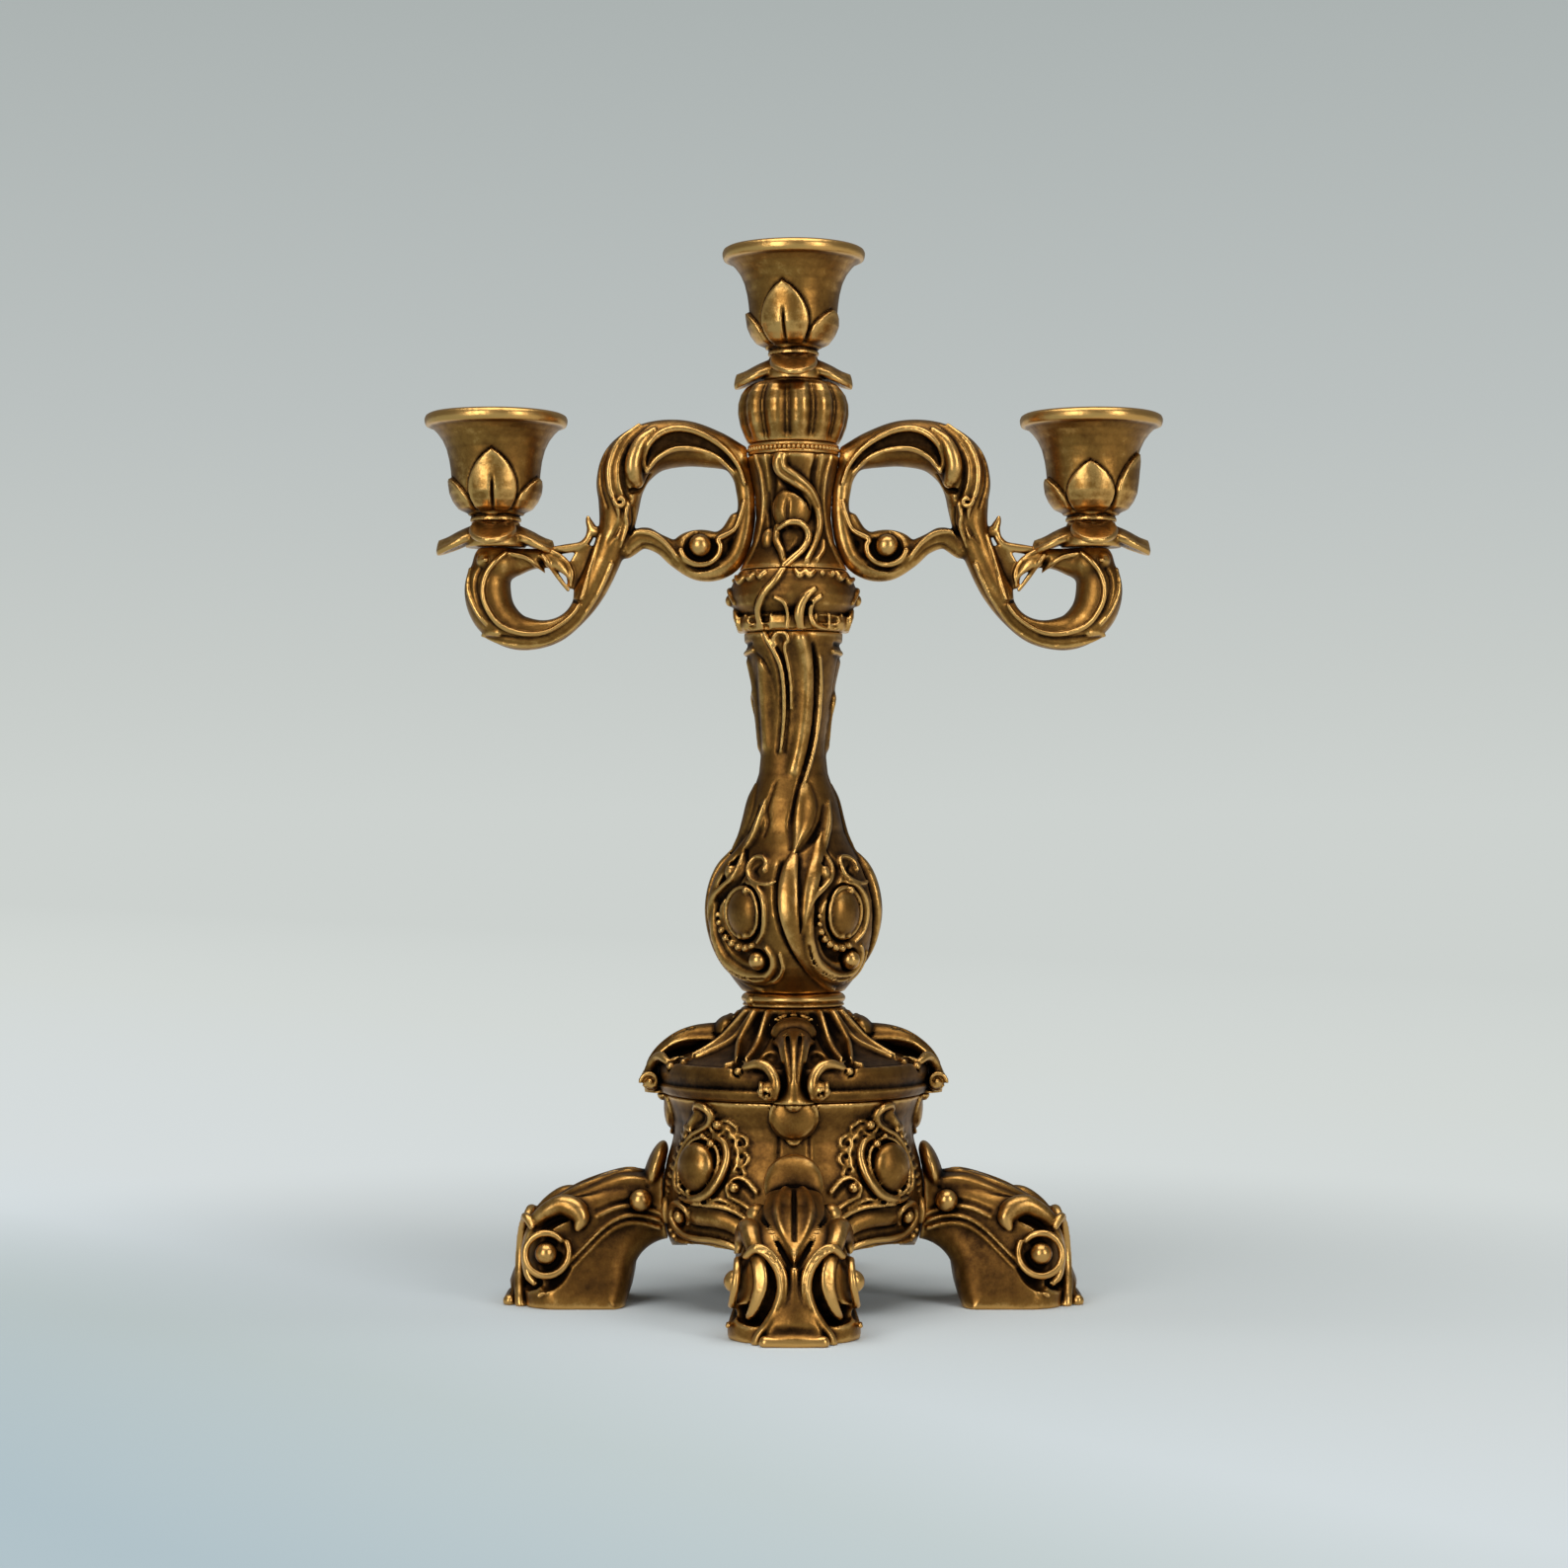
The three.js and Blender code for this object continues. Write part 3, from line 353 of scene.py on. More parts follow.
    def trim(self, point, normal):
        """Cut the wax flat: what lies beyond the plane goes."""
        cut, (x, y, z) = self.everywhere()
        n = np.asarray(normal, float) / np.linalg.norm(normal)
        beyond = (x - point[0]) * n[0] + (y - point[1]) * n[1] + (z - point[2]) * n[2]
        self.skin = np.maximum(self.skin, beyond).astype(np.float32)

    def mirror(self, axis):
        """Add the mirror image; the grid starts at zero on that axis."""
        flipped = np.flip(self.skin, axis)
        self.skin = np.concatenate([np.delete(flipped, -1, axis), self.skin], axis)
        self.axes[axis] = np.concatenate([-self.axes[axis][:0:-1], self.axes[axis]])

    def hollows(self, points, width):
        """How much metal stands round each point: a half on a flat, more in a hollow, less on a ridge."""
        metal = np.clip(0.5 - self.skin / self.grain, 0, 1)
        span = max(1, int(round(width / self.grain)))
        for axis in (0, 1, 2, 0, 1, 2):
            padding = [(0, 0)] * 3
            padding[axis] = (span + 1, span)
            total = np.cumsum(np.pad(metal, padding), axis, dtype=np.float64)
            n = metal.shape[axis]
            metal = ((np.take(total, range(2 * span + 1, 2 * span + 1 + n), axis)
                      - np.take(total, range(n), axis)) / (2 * span + 1)).astype(np.float32)
        spot = [(points[:, k] - self.axes[k][0]) / self.grain for k in range(3)]
        base = [np.clip(s.astype(int), 0, n - 2) for s, n in zip(spot, metal.shape)]
        part = [s - b for s, b in zip(spot, base)]
        level = 0
        for i, j, k in np.ndindex(2, 2, 2):
            weight = np.abs(1 - i - part[0]) * np.abs(1 - j - part[1]) * np.abs(1 - k - part[2])
            level = level + weight * metal[base[0] + i, base[1] + j, base[2] + k]
        return level

    def pour(self):
        """The skin of the wax: points in mm, four-sided faces that look outwards, and how hollow each point
        is."""
        inside = self.skin < 0
        n = np.array(self.skin.shape) - 1
        corners = list(np.ndindex(2, 2, 2))
        held = sum(inside[i:i + n[0], j:j + n[1], k:k + n[2]].astype(np.uint8) for i, j, k in corners)
        mixed = (held > 0) & (held < 8)
        cells = np.argwhere(mixed)
        number = np.full(n, -1, np.int32)
        number[mixed] = np.arange(len(cells))
        value = [self.skin[tuple((cells + c).T)] for c in corners]
        total, hits = np.zeros((len(cells), 3)), np.zeros(len(cells))
        for a, start in enumerate(corners):
            for axis in range(3):
                if start[axis]:
                    continue
                b = a + (4, 2, 1)[axis]
                crossed = (value[a] < 0) != (value[b] < 0)
                share = value[a][crossed] / (value[a][crossed] - value[b][crossed])
                total[crossed] += start
                total[crossed, axis] += share
                hits[crossed] += 1
        points = np.array([a[0] for a in self.axes]) + self.grain * (cells + total / hits[:, None])
        faces = []
        for axis in range(3):
            u, v = (axis + 1) % 3, (axis + 2) % 3
            here = [slice(None)] * 3
            there = [slice(None)] * 3
            here[axis], there[axis] = slice(None, -1), slice(1, None)
            for side in (u, v):
                here[side] = there[side] = slice(1, -1)
            leaving = inside[tuple(here)] & ~inside[tuple(there)]
            entering = ~inside[tuple(here)] & inside[tuple(there)]
            for found, order in ((leaving, ((-1, -1), (0, -1), (0, 0), (-1, 0))),
                                 (entering, ((-1, -1), (-1, 0), (0, 0), (0, -1)))):
                spot = np.argwhere(found)
                spot[:, u] += 1
                spot[:, v] += 1
                ring = []
                for du, dv in order:
                    c = spot.copy()
                    c[:, u] += du
                    c[:, v] += dv
                    ring.append(number[tuple(c.T)])
                faces.append(np.stack(ring, 1))
        marks = {"hollow": self.hollows(points, 0.9), "deep": self.hollows(points, 2.6)}
        return points, np.vstack(faces), marks


def laid(skin, face, marks):
    """Marks on a round body as they look from straight in front of a face: across, up, proud of the skin
    and sizes. The skin is the body's radius by angle and height."""
    rows = []
    for across, up, proud, *sizes in marks:
        a = face
        for _ in range(5):
            a = face + math.asin(max(-1, min(1, across / float(skin(a, up)))))
        r = float(skin(a, up)) + proud
        rows.append((r * math.cos(a), r * math.sin(a), up, *sizes))
    return rows


def radius_at(outline, z):
    """The radius of a turned outline at a height."""
    up, r = np.array(outline[1:-1]).T[::-1]
    return np.interp(z, up, r)


def relief(skin, outline):
    """How far a skin, given as the radius by angle and height, stands proud of a turned outline."""
    return lambda a, z: (skin(a, z) - radius_at(outline, z)).astype(np.float32)


def casting(name, poured, body, turn=0.0, at=(0, 0, 0), painted_shade=0.0):
    """A finished casting, turned and set in its place: its mesh, its metal, its body and the node it stands
    for. Each casting is painted darker by a set amount, painted shade for where it stands in the light; a
    negative amount paints it lighter, a painted highlight."""
    points, faces, marks = poured
    c, s = math.cos(turn), math.sin(turn)
    points = points @ np.array([(c, s, 0), (-s, c, 0), (0, 0, 1)]) + at
    mesh = bpy.data.meshes.new(name)
    mesh.vertices.add(len(points))
    mesh.vertices.foreach_set("co", (points * MM).astype(np.float32).ravel())
    mesh.loops.add(faces.size)
    mesh.loops.foreach_set("vertex_index", faces.astype(np.int32).ravel())
    mesh.polygons.add(len(faces))
    mesh.polygons.foreach_set("loop_start", np.arange(0, faces.size, 4, dtype=np.int32))
    mesh.polygons.foreach_set("use_smooth", np.ones(len(faces), bool))
    mesh.update(calc_edges=True)
    marks = {**marks, "painted_shade": np.full(len(points), painted_shade)}
    for key, values in marks.items():
        mesh.attributes.new(key, "FLOAT", "POINT").data.foreach_set("value", values.astype(np.float32))
    mesh.materials.append(BRASS)
    piece = bpy.data.objects.new(name, mesh)
    bpy.context.scene.collection.objects.link(piece)
    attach(piece, body)
    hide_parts(name)
    return piece


def drum_skin(a, z):
    off = a % (math.pi / 2) - math.pi / 4
    swell = np.clip(1 - (off * 47 / 17) ** 2, 0, 1) * np.clip(1 - ((z - 51) / 19) ** 2, 0, 1)
    return radius_at(DRUM_OUTSIDE, z) + 4.2 * swell


def on_drum(wax, face, marks, blend=0.5, carve=False):
    wax.strand(laid(drum_skin, math.radians(face), marks), blend, carve)


def pips(wax, skin, face, marks, blend=0.2):
    """Round beads on a body: across, up, proud of the skin and radius."""
    for row in marks:
        wax.pellet(laid(skin, math.radians(face), [row])[0][:3], row[3], blend)


def tilted(wide, high, proud, radius):
    """A tilted oval round the middle of the medallion."""
    rows = []
    for a in np.linspace(0, 2 * math.pi, 26):
        u, v = wide * math.sin(a), high * math.cos(a)
        rows.append((0.2 + u * math.cos(OVAL_TILT) + v * math.sin(OVAL_TILT),
                     51.8 - u * math.sin(OVAL_TILT) + v * math.cos(OVAL_TILT), proud, radius))
    return rows


wax = Wax((0, 0, 18.8), (57.6, 57.6, 76.2), 0.64)
wax.turn(DRUM_OUTSIDE, relief(drum_skin, DRUM_OUTSIDE))
# the apron: a thick C-scroll with a rim that winds into a spiral beside the side foot
on_drum(wax, 45, [(-5, 34.2, -1.6, 2.6), (0.7, 34.4, -1.4, 3.4), (8.1, 34.4, -1.4, 3.6),
                  (14, 33, -1.4, 3.6), (18.4, 29.6, -1.4, 3.4), (21, 25, -1.4, 3.0), (22, 20.6, -1.4, 2.6)],
        0.8)
on_drum(wax, 45, [(-3.5, 30.6, 0.4, 0.7), (3, 30.4, 0.6, 0.9), (9.5, 29.9, 0.6, 0.9),
                  (15.2, 28.0, 0.6, 0.9), (18.2, 24.6, 0.4, 0.8), (19.4, 20, 0.4, 0.7)], 0.4, True)
on_drum(wax, 45, [(-2.7, 38.2, 0.3, 0.7), (1, 38.8, 0.5, 0.9), (6, 39.2, 0.5, 0.95),
                  (12.8, 38.6, 0.5, 0.95), (18, 36.0, 0.5, 0.9), (22.2, 31.6, 0.5, 0.85),
                  (25, 26.6, 0.4, 0.8), (26, 21, 0.3, 0.8)], 0.5)
on_drum(wax, 45, [(-8.6, 33.4, 0.2, 2.6), (-11.6, 31.6, 0.2, 2.2), (-9, 36, 0.2, 1.6)], 0.8, True)
on_drum(wax, 45, [(18.6, 19.6, 0.6, 1.1), (16.3, 23.0, 0.7, 1.15), (12.8, 25.4, 0.8, 1.2),
                  (6, 26.6, 0.8, 1.25), (-1, 26.5, 0.8, 1.3), (-7.6, 26.9, 0.8, 1.35),
                  (-13.4, 29.0, 0.9, 1.35), (-16.2, 32.6, 0.9, 1.3), (-14.6, 36.4, 0.9, 1.3),
                  (-9.6, 38.3, 0.9, 1.2), (-4.6, 36.9, 0.9, 1.1), (-3.4, 33.8, 0.8, 1.0),
                  (-5.6, 31.3, 0.7, 0.85)], 0.4)
pips(wax, drum_skin, 45, [(-9.2, 33.6, 1.2, 2.3)])
on_drum(wax, 45, [(-14, 24.2, 0.3, 0.8), (-6, 22.9, 0.4, 0.8), (4, 22.8, 0.4, 0.8), (11, 22.6, 0.4, 0.8),
                  (15, 20, 0.3, 0.7)], 0.5)
pips(wax, drum_skin, 45, [(-17.4, 25.6, 0.5, 1.2), (-19.6, 27.4, 0.6, 1.0), (-15.6, 24.4, 0.5, 0.9)])
# the medallion's moat, its cabochon and the double frame
on_drum(wax, 45, tilted(9.0, 9.9, 0.2, 1.5), 0.6, True)
on_drum(wax, 45, tilted(12.6, 13.6, 0.0, 0.9), 0.6, True)
x, y, z = laid(drum_skin, math.pi / 4, [(0.2, 51.8, -1.0)])[0]
half = math.sqrt(0.5)
across, above = np.array((-half, half, 0)), np.array((0, 0, 1))
axes = ((half, half, 0), across * math.cos(OVAL_TILT) - above * math.sin(OVAL_TILT),
        across * math.sin(OVAL_TILT) + above * math.cos(OVAL_TILT))
wax.pellet((x, y, z), (4.6, 8.1, 8.7), 0.2, axes=axes)
on_drum(wax, 45, tilted(9.4, 10.2, 0.3, 0.75), 0.3)
on_drum(wax, 45, [(5.6, 62.6, 0.3, 0.8), (9.4, 61.2, 0.4, 1.3), (11.6, 57.2, 0.4, 1.5),
                  (11.9, 52.4, 0.4, 1.55), (10.4, 47.2, 0.4, 1.5), (7.0, 43.0, 0.4, 1.4),
                  (2.4, 41.0, 0.4, 1.2), (-3, 40.0, 0.3, 0.9), (-8, 40.6, 0.2, 0.6)], 0.4)
on_drum(wax, 45, [(8.4, 59.4, 1.7, 0.45), (10.2, 56, 1.8, 0.5), (10.5, 52, 1.8, 0.5), (9.2, 47.8, 1.8, 0.5),
                  (6.2, 44.4, 1.7, 0.45)], 0.3, True)
on_drum(wax, 45, [(-4.5, 71.6, 0.4, 0.9), (-1.5, 73.2, 0.9, 1.3), (2.4, 72.4, 1.2, 1.5),
                  (4.2, 69.8, 1.0, 1.4), (3.0, 66.8, 0.7, 1.1), (-0.6, 64.4, 0.5, 1.0),
                  (-5.4, 62.2, 0.4, 0.95), (-9.2, 58.2, 0.4, 0.95), (-11.6, 53, 0.4, 0.9),
                  (-12.4, 48, 0.4, 0.85), (-10.8, 44, 0.4, 0.8), (-7.4, 42.2, 0.3, 0.6)], 0.4)
on_drum(wax, 45, [(-3.6, 70.4, -0.4, 1.4), (-6.4, 67, -0.5, 1.8), (-10, 63, -0.7, 1.9),
                  (-13, 59.4, -0.8, 1.5)], 0.8)
on_drum(wax, 45, [(-1.2, 70.8, 0.3, 0.9), (-0.8, 68.2, 0.2, 1.0), (-4.6, 65.4, 0.2, 0.8),
                  (-9, 61, 0.2, 0.7)], 0.4, True)
pips(wax, drum_skin, 45, [(5.7, 60.3, 1.4, 1.5), (1.2, 62.6, 1.0, 1.1), (-6.4, 45.0, 1.0, 1.1),
                          (7.0, 66.8, 0.9, 1.8), (-1.6, 43.4, 0.6, 0.9)])
on_drum(wax, 45, [(5.6, 70, 0.3, 0.6), (3.8, 67.6, 0.3, 0.65), (4.4, 64.6, 0.3, 0.65),
                  (7.4, 63.6, 0.3, 0.65), (10.2, 64.8, 0.3, 0.6)], 0.3)
# the shell: a ruffled edge over a pitted bed, towards the front or back foot
on_drum(wax, 45, [(9.6, 65.6, -0.9, 1.9), (12.6, 62, -1.0, 2.4), (14.6, 57, -1.0, 2.5),
                  (15, 51.6, -1.0, 2.2)], 0.8)
ruffle = [(8.8, 68.4, 0.3, 0.6), (11.2, 68.0, 0.4, 0.7), (13.2, 66.2, 0.4, 0.7), (13.4, 64.2, 0.3, 0.7),
          (16.2, 62.6, 0.4, 0.7), (16.9, 60.2, 0.4, 0.7), (15.9, 58.4, 0.3, 0.7), (17.9, 56.4, 0.4, 0.7),
          (18.0, 54.0, 0.4, 0.7), (16.8, 52.4, 0.3, 0.7), (18.0, 50.4, 0.4, 0.65), (17.6, 48.6, 0.3, 0.6)]
on_drum(wax, 45, ruffle, 0.3)
for u, z in ((10.3, 64.2), (12.6, 65.2), (12.4, 61.4), (14.8, 60.6), (13.7, 57.2), (15.9, 56.4),
             (14.1, 53.2), (16, 51.6)):
    wax.pellet(laid(drum_skin, math.pi / 4, [(u, z, 1.1)])[0], 0.95, 0.3, True)
on_drum(wax, 45, [(14.0, 42.6, 0.3, 0.6), (13.4, 46, 0.4, 0.7), (15.3, 48.8, 0.4, 0.75),
                  (18.6, 48.4, 0.4, 0.9), (22.8, 44.4, 0.4, 0.9)], 0.4)
on_drum(wax, 45, [(17.8, 46.4, 0.2, 0.8), (20.2, 44.4, 0.2, 0.9), (21.6, 42.4, 0.1, 0.7)], 0.3, True)
pips(wax, drum_skin, 45, [(15.6, 45.6, 0.6, 1.9)])
on_drum(wax, 45, [(14.0, 42.6, 0.3, 0.7), (17.1, 40.7, 0.3, 0.75), (21.1, 38.2, 0.3, 0.75),
                  (25, 34.6, 0.3, 0.7)], 0.4)
on_drum(wax, 45, [(6.6, 40.4, 0.2, 0.6), (10.6, 41.4, 0.3, 0.7), (13.4, 40.6, 0.3, 0.7),
                  (17, 38.4, 0.2, 0.6)], 0.4)
# the comb, towards the side foot
for k, (u, z) in enumerate(((-8.6, 64.4), (-11.2, 61.8), (-13.6, 59.0), (-15.6, 56.0), (-17.4, 52.9),
                            (-18.8, 49.8), (-20, 46.8), (-20.9, 44.0), (-21.4, 41.5))):
    wide = 1.7 - 0.09 * k
    on_drum(wax, 45, [(u - wide, z + 0.5, 0.3, 1.15 - 0.05 * k), (u + wide, z - 0.3, 0.3, 1.1 - 0.05 * k)],
            0.2)
wax.pellet(laid(drum_skin, math.radians(15.5), [(0, 34.2, 0.4)])[0], (2.0, 1.9, 5.0), 0.4)
# the hanging tongue, and the plain strap below it
for face in (0, 90):
    on_drum(wax, face, [(0, 75, 0.1, 3.2), (0, 75.6, 0.1, 3.2)], 0.5)
    for side in (-5.4, 5.4):
        on_drum(wax, face, [(side, 68, 0.1, 0.55), (side, 61, 0.1, 0.6), (side * 1.04, 54, 0.1, 0.6)], 0.3,
                True)
    a = math.radians(face)
    out, side = (math.cos(a), math.sin(a), 0), (-math.sin(a), math.cos(a), 0)
    x, y, z = laid(drum_skin, a, [(0, 70.2, -0.1)])[0]
    wax.pellet((x, y, z), (2.6, 8.9, 8.9), 0.3, True, axes=(out, side, (0, 0, 1)))
    wax.pellet((x, y, z), (2.5, 7.8, 7.8), 0.2, axes=(out, side, (0, 0, 1)))
    on_drum(wax, face, [(7.9 * math.sin(t), 70.4 - 7.9 * math.cos(t), 0.4, 0.75)
                        for t in np.linspace(-2.1, 2.1, 18)], 0.4)
    on_drum(wax, face, [(-2.2, 62.0, 0.7, 0.6), (0, 60.9, 0.8, 1.0), (2.2, 62.0, 0.7, 0.6)], 0.4)
cut, (x, y, z) = wax.everywhere()
arch = 24.2 - 4.2 * np.abs(np.arctan2(y, x) / (math.pi / 4) - 1) ** 1.5 - z
wax.skin = np.maximum(wax.skin, arch).astype(np.float32)
wax.bore(DRUM_BORE, 0, DRUM_DECK)
wax.bore(ROD_HOLE, 60, 90)
wax.strand([(34, 0, FOOT_SCREW_LEVEL, SCREW_HOLE), (56, 0, FOOT_SCREW_LEVEL, SCREW_HOLE)], 0, True)
wax.strand([(0, 34, FOOT_SCREW_LEVEL, SCREW_HOLE), (0, 56, FOOT_SCREW_LEVEL, SCREW_HOLE)], 0, True)
wax.trim((0, 0, 75), (0, 0, 1))
wax.mirror(0)
wax.mirror(1)
casting("drum", wax.pour(), "base", painted_shade=0.02)


# ---------------------------------------------------------------- the four scroll feet
# Each foot is a solid scroll casting with a broad flared sole and a tongue at the toe. It is fitted to the
# drum and held by one screw from inside. A round leaf lies over its root, and a ball sits in a scroll on
# each flank.
FOOT_REACH = 96.6
SOLE_HALF_WIDTH = 23.6


def flank(u, z, lift=0.0):
    """A point on the foot's side, u from the stand's axis and z above the table."""
    root = np.clip((u - 48) / 40, 0, 1)
    wall = 10.5 + 8.3 * root - 0.10 * np.maximum(z - 30, 0)
    flare = np.clip(1 - z / 27, 0, 1) ** 1.5
    return (u, wall + (SOLE_HALF_WIDTH - wall) * flare + lift, z)


def on_flank(wax, marks, blend=0.5, carve=False):
    """Marks on the foot's side: u, z, how proud and radius."""
    wax.strand([flank(*mark[:3]) + mark[3:] for mark in marks], blend, carve)


def foot_wax():
    """Half a foot, the +Y half of the one that points along +X."""
    wax = Wax((36, 0, -1.2), (106, 26, 63), 0.55)
    cut, (x, y, z) = wax.everywhere()
    ridge = smooth([(36, 49), (48, 49), (56, 46), (65, 43.6), (74, 41.1), (80.5, 38.6), (86.7, 35.5),
                    (91, 31.5), (94.3, 26.3), (96, 20.5), (96.8, 13), (97, 6), (97, -3)], 2)
    under = smooth([(61, -3), (58.5, 5), (57.4, 10), (56.4, 15), (53, 19.4), (47.5, 22.3), (40, 23.2),
                    (36, 23.4)], 2)
    side = np.vstack([ridge, under])
    # the ridge and the underside, drawn from the side
    xx, zz = np.meshgrid(x.ravel(), z.ravel(), indexing="ij")
    near, inside = np.full(xx.shape, 1e9), np.zeros(xx.shape, bool)
    for (ax, az), (bx, bz) in zip(side, np.roll(side, -1, 0)):
        dx, dz = bx - ax, bz - az
        t = np.clip(((xx - ax) * dx + (zz - az) * dz) / max(dx * dx + dz * dz, 1e-9), 0, 1)
        near = np.minimum(near, np.hypot(xx - ax - t * dx, zz - az - t * dz))
        if az != bz:
            inside ^= ((az > zz) != (bz > zz)) & (xx < ax + (zz - az) * dx / dz)
    profile = np.where(inside, -near, near)[:, None, :].astype(np.float32)
    wide = flank(x, z)[1]
    nose = x - (FOOT_REACH + 1.2 - np.maximum(y - 8, 0) ** 2 * 0.045)
    body = -soft_min(-profile, -(y - wide) * 0.92, 9.0)
    wax.skin = -soft_min(-body, -nose, 5.0).astype(np.float32)
    # the strap along the flank, with a double ridge on its lower edge
    strap = [(48, 27.6), (53, 29.2), (58, 29.6), (63, 28.2), (68, 24.8), (74, 19.0), (80, 13.0), (86, 7.8),
             (90, 5.2)]
    on_flank(wax, [(u, z, -0.2, 0.95) for u, z in strap])
    on_flank(wax, [(u, z + 2.6, 0.1, 0.9) for u, z in strap])
    on_flank(wax, [(u, z + 1.3, 0.7, 0.75) for u, z in strap], 0.3, True)
    # the curled leaf on the shoulder and the hollow that it leaves
    on_flank(wax, [(93.0, 22, 0, 1.8), (91, 28, -1, 3.0), (86.5, 31.6, -1, 3.5), (81, 32.6, -1, 2.0)], 0.6,
             carve=True)
    wax.strand([(95, 9, 22, 2.4), (93, 12, 28, 2.7), (89, 14, 33, 3.0), (83, 15.0, 36.2, 3.6),
                (78, 15.8, 35, 4.0), (75.4, 17.2, 32, 3.0), (76.6, 18.8, 28.4, 1.2)], 0.9)
    on_flank(wax, [(73.2, 34.6, 1.2, 0.8), (72.2, 31.6, 0.9, 1.0), (74.6, 27.6, 0.6, 0.8)], 0.3, carve=True)
    on_flank(wax, [(49, 34.6, 0.5, 0.9), (56, 37.4, 0.6, 1.2), (63, 37.0, 0.6, 1.3), (70, 34.4, 0.6, 1.1)],
             0.4, carve=True)
    on_flank(wax, [(47, 32.6, 0, 0.8), (56, 35.4, 0, 0.8), (63, 35.0, 0, 0.8), (70, 32.0, 0, 0.7)], 0.4)
    # the ball in its scroll
    ball_u, ball_z = 87.8, 19.6
    on_flank(wax, [(94, 14.5, 0.2, 1.6), (91.8, 10.6, 0.2, 2.4), (87.5, 8.8, 0.2, 2.5),
                   (83, 10.4, 0.2, 1.6), (79.6, 14.0, 0.2, 0.8)], 0.6, True)
    on_flank(wax, [(ball_u + 4.7 * math.cos(a), ball_z + 4.8 * math.sin(a), 0.4, 1.5)
                   for a in np.linspace(-3.0, 2.2, 16)], 0.4, True)
    on_flank(wax, [(ball_u + (7.4 - 0.2 * a) * math.cos(a), ball_z + (7.4 - 0.2 * a) * math.sin(a), 0.1,
                    1.3) for a in np.linspace(-3.6, 2.4, 20)])
    wax.pellet(flank(ball_u, ball_z, 0.2), 3.9, 0.3)
    # the dark eye of the scroll, seen from the front, with the strip that curls inside it
    wax.strand([(93, 12.4, 28.5, 2.8), (95, 9.6, 24.5, 3.8), (96.4, 8.6, 18.5, 4.6),
                (95.8, 10.4, 12.5, 5.0), (94, 13.4, 9.6, 4.0), (91.6, 17.2, 9.4, 3.0)], 0.8, carve=True)
    wax.strand([(90, 13.6, 30.5, 2.0, 1.2), (94, 11.6, 26, 2.3, 1.3), (95.6, 11.0, 19.5, 2.4, 1.3),
                (94.6, 13.2, 12, 1.9, 1.2), (92, 15, 8.5, 1.2, 1)], 0.4, face=(1, 0.3, 0.2))
    eye = [(93, 16, 28.6, 1.2), (95.2, 12.8, 31.6, 1.6), (96.2, 8.6, 30, 1.9), (97.2, 5.0, 25, 2.0),
           (97.8, 3.9, 19, 2.0), (98.0, 5.4, 12.5, 2.0), (98.0, 8.4, 7, 2.0), (97.6, 11.6, 2.5, 2.0),
           (97.2, 12.8, -1, 2.0)]
    wax.strand(eye, 0.4)
    wax.strand([(x + 1.9, y - 0.6, z, 0.55) for x, y, z, _ in eye[1:]], 0.3, carve=True)
    # the tongue
    wax.strand([(95.8, 0, 24, 1.8, 1.4), (96.8, 0, 18, 2.6, 1.6), (97.9, 0, 13, 4.6, 2.0),
                (99.4, 0, 8.6, 7.0, 2.3), (100.4, 0, 4.2, 9.0, 2.3), (100.6, 0, 1.0, 9.8, 2.3)], 0.8,
               face=(1, 0, 0.35), cup=-1.2)
    wax.strand([(101.6, y, 1.4, 2.3) for y in (-9.4, -3, 3, 9.4)], 0.5)
    wax.strand([(103.1, y, 5.4, 1.6) for y in (-7.0, -3, 3, 7.0)], 1.2, carve=True)
    # the round leaf at the root, flowing down over the shoulder to a point between the two eyes
    disc_axes = np.array([(0.95, 0, 0.31), (0, 1, 0), (-0.31, 0, 0.95)])
    wax.pellet((50.2, 0, 48.0), (3.2, 11.6, 11.8), 0.0, carve=True, axes=disc_axes)
    wax.pellet((49.8, 0, 47.6), (3.6, 10.5, 10.6), 0.3, axes=disc_axes)
    leaf = [(52.5, 0, 44.0, 9.2, 2.4), (58, 0, 44.6, 9.6, 2.4), (65, 0, 43.2, 10.2, 2.2),
            (73, 0, 40.8, 10.2, 2.0), (81, 0, 37.8, 8.2, 1.8), (88, 0, 33.4, 5.0, 1.6),
            (92.4, 0, 29.4, 2.2, 1.5), (94.2, 0, 26.6, 0.6, 1.4)]
    wax.strand(leaf, 0.6, face=lambda p: (p[0] - 60, 0, p[2] - 10), cup=-1.6)
    wax.strand([(u + 0.4, w + 0.9, z - 0.8, 0.9) for u, _, z, w, _ in leaf[1:]], 0.4, carve=True)
    wax.strand([(54.4, 2.2, 46.8, 0.6), (60, 3.4, 46.8, 1.1), (68, 5.0, 44.4, 1.4), (77, 5.6, 40.8, 1.5),
                (85.6, 4.0, 36.0, 1.3), (91.6, 1.0, 30.8, 0.8)], 0.6)
    wax.strand([(56, 0, 47.6, 0.5), (64, 0, 46.0, 0.9), (74, 0, 42.9, 0.9), (84, 0, 38.2, 0.8),
                (90, 0, 33.6, 0.6)], 0.6, carve=True)
    wax.pellet((54.6, 12.6, 37.6), (4.0, 3.9, 4.0), 0.3)
    # flat under the sole
    wax.trim((0, 0, 0), (0, 0, -1))
    return wax


# the foot is hollowed to seat on the drum's wall
wax = foot_wax()
wax.turn([(0, -5), (44.3, -5), (44.3, 20), (47.8, 31), (47.6, 43), (46.0, 51), (43.4, 60), (44, 66),
          (46.8, 75), (46.8, 90), (0, 90)], carve=True)
wax.mirror(1)
poured = wax.pour()
for name, quarter in (("right", 0), ("back", 1), ("left", 2), ("front", 3)):
    casting(f"foot_{name}", poured, "base", quarter * math.pi / 2, painted_shade=0.04)


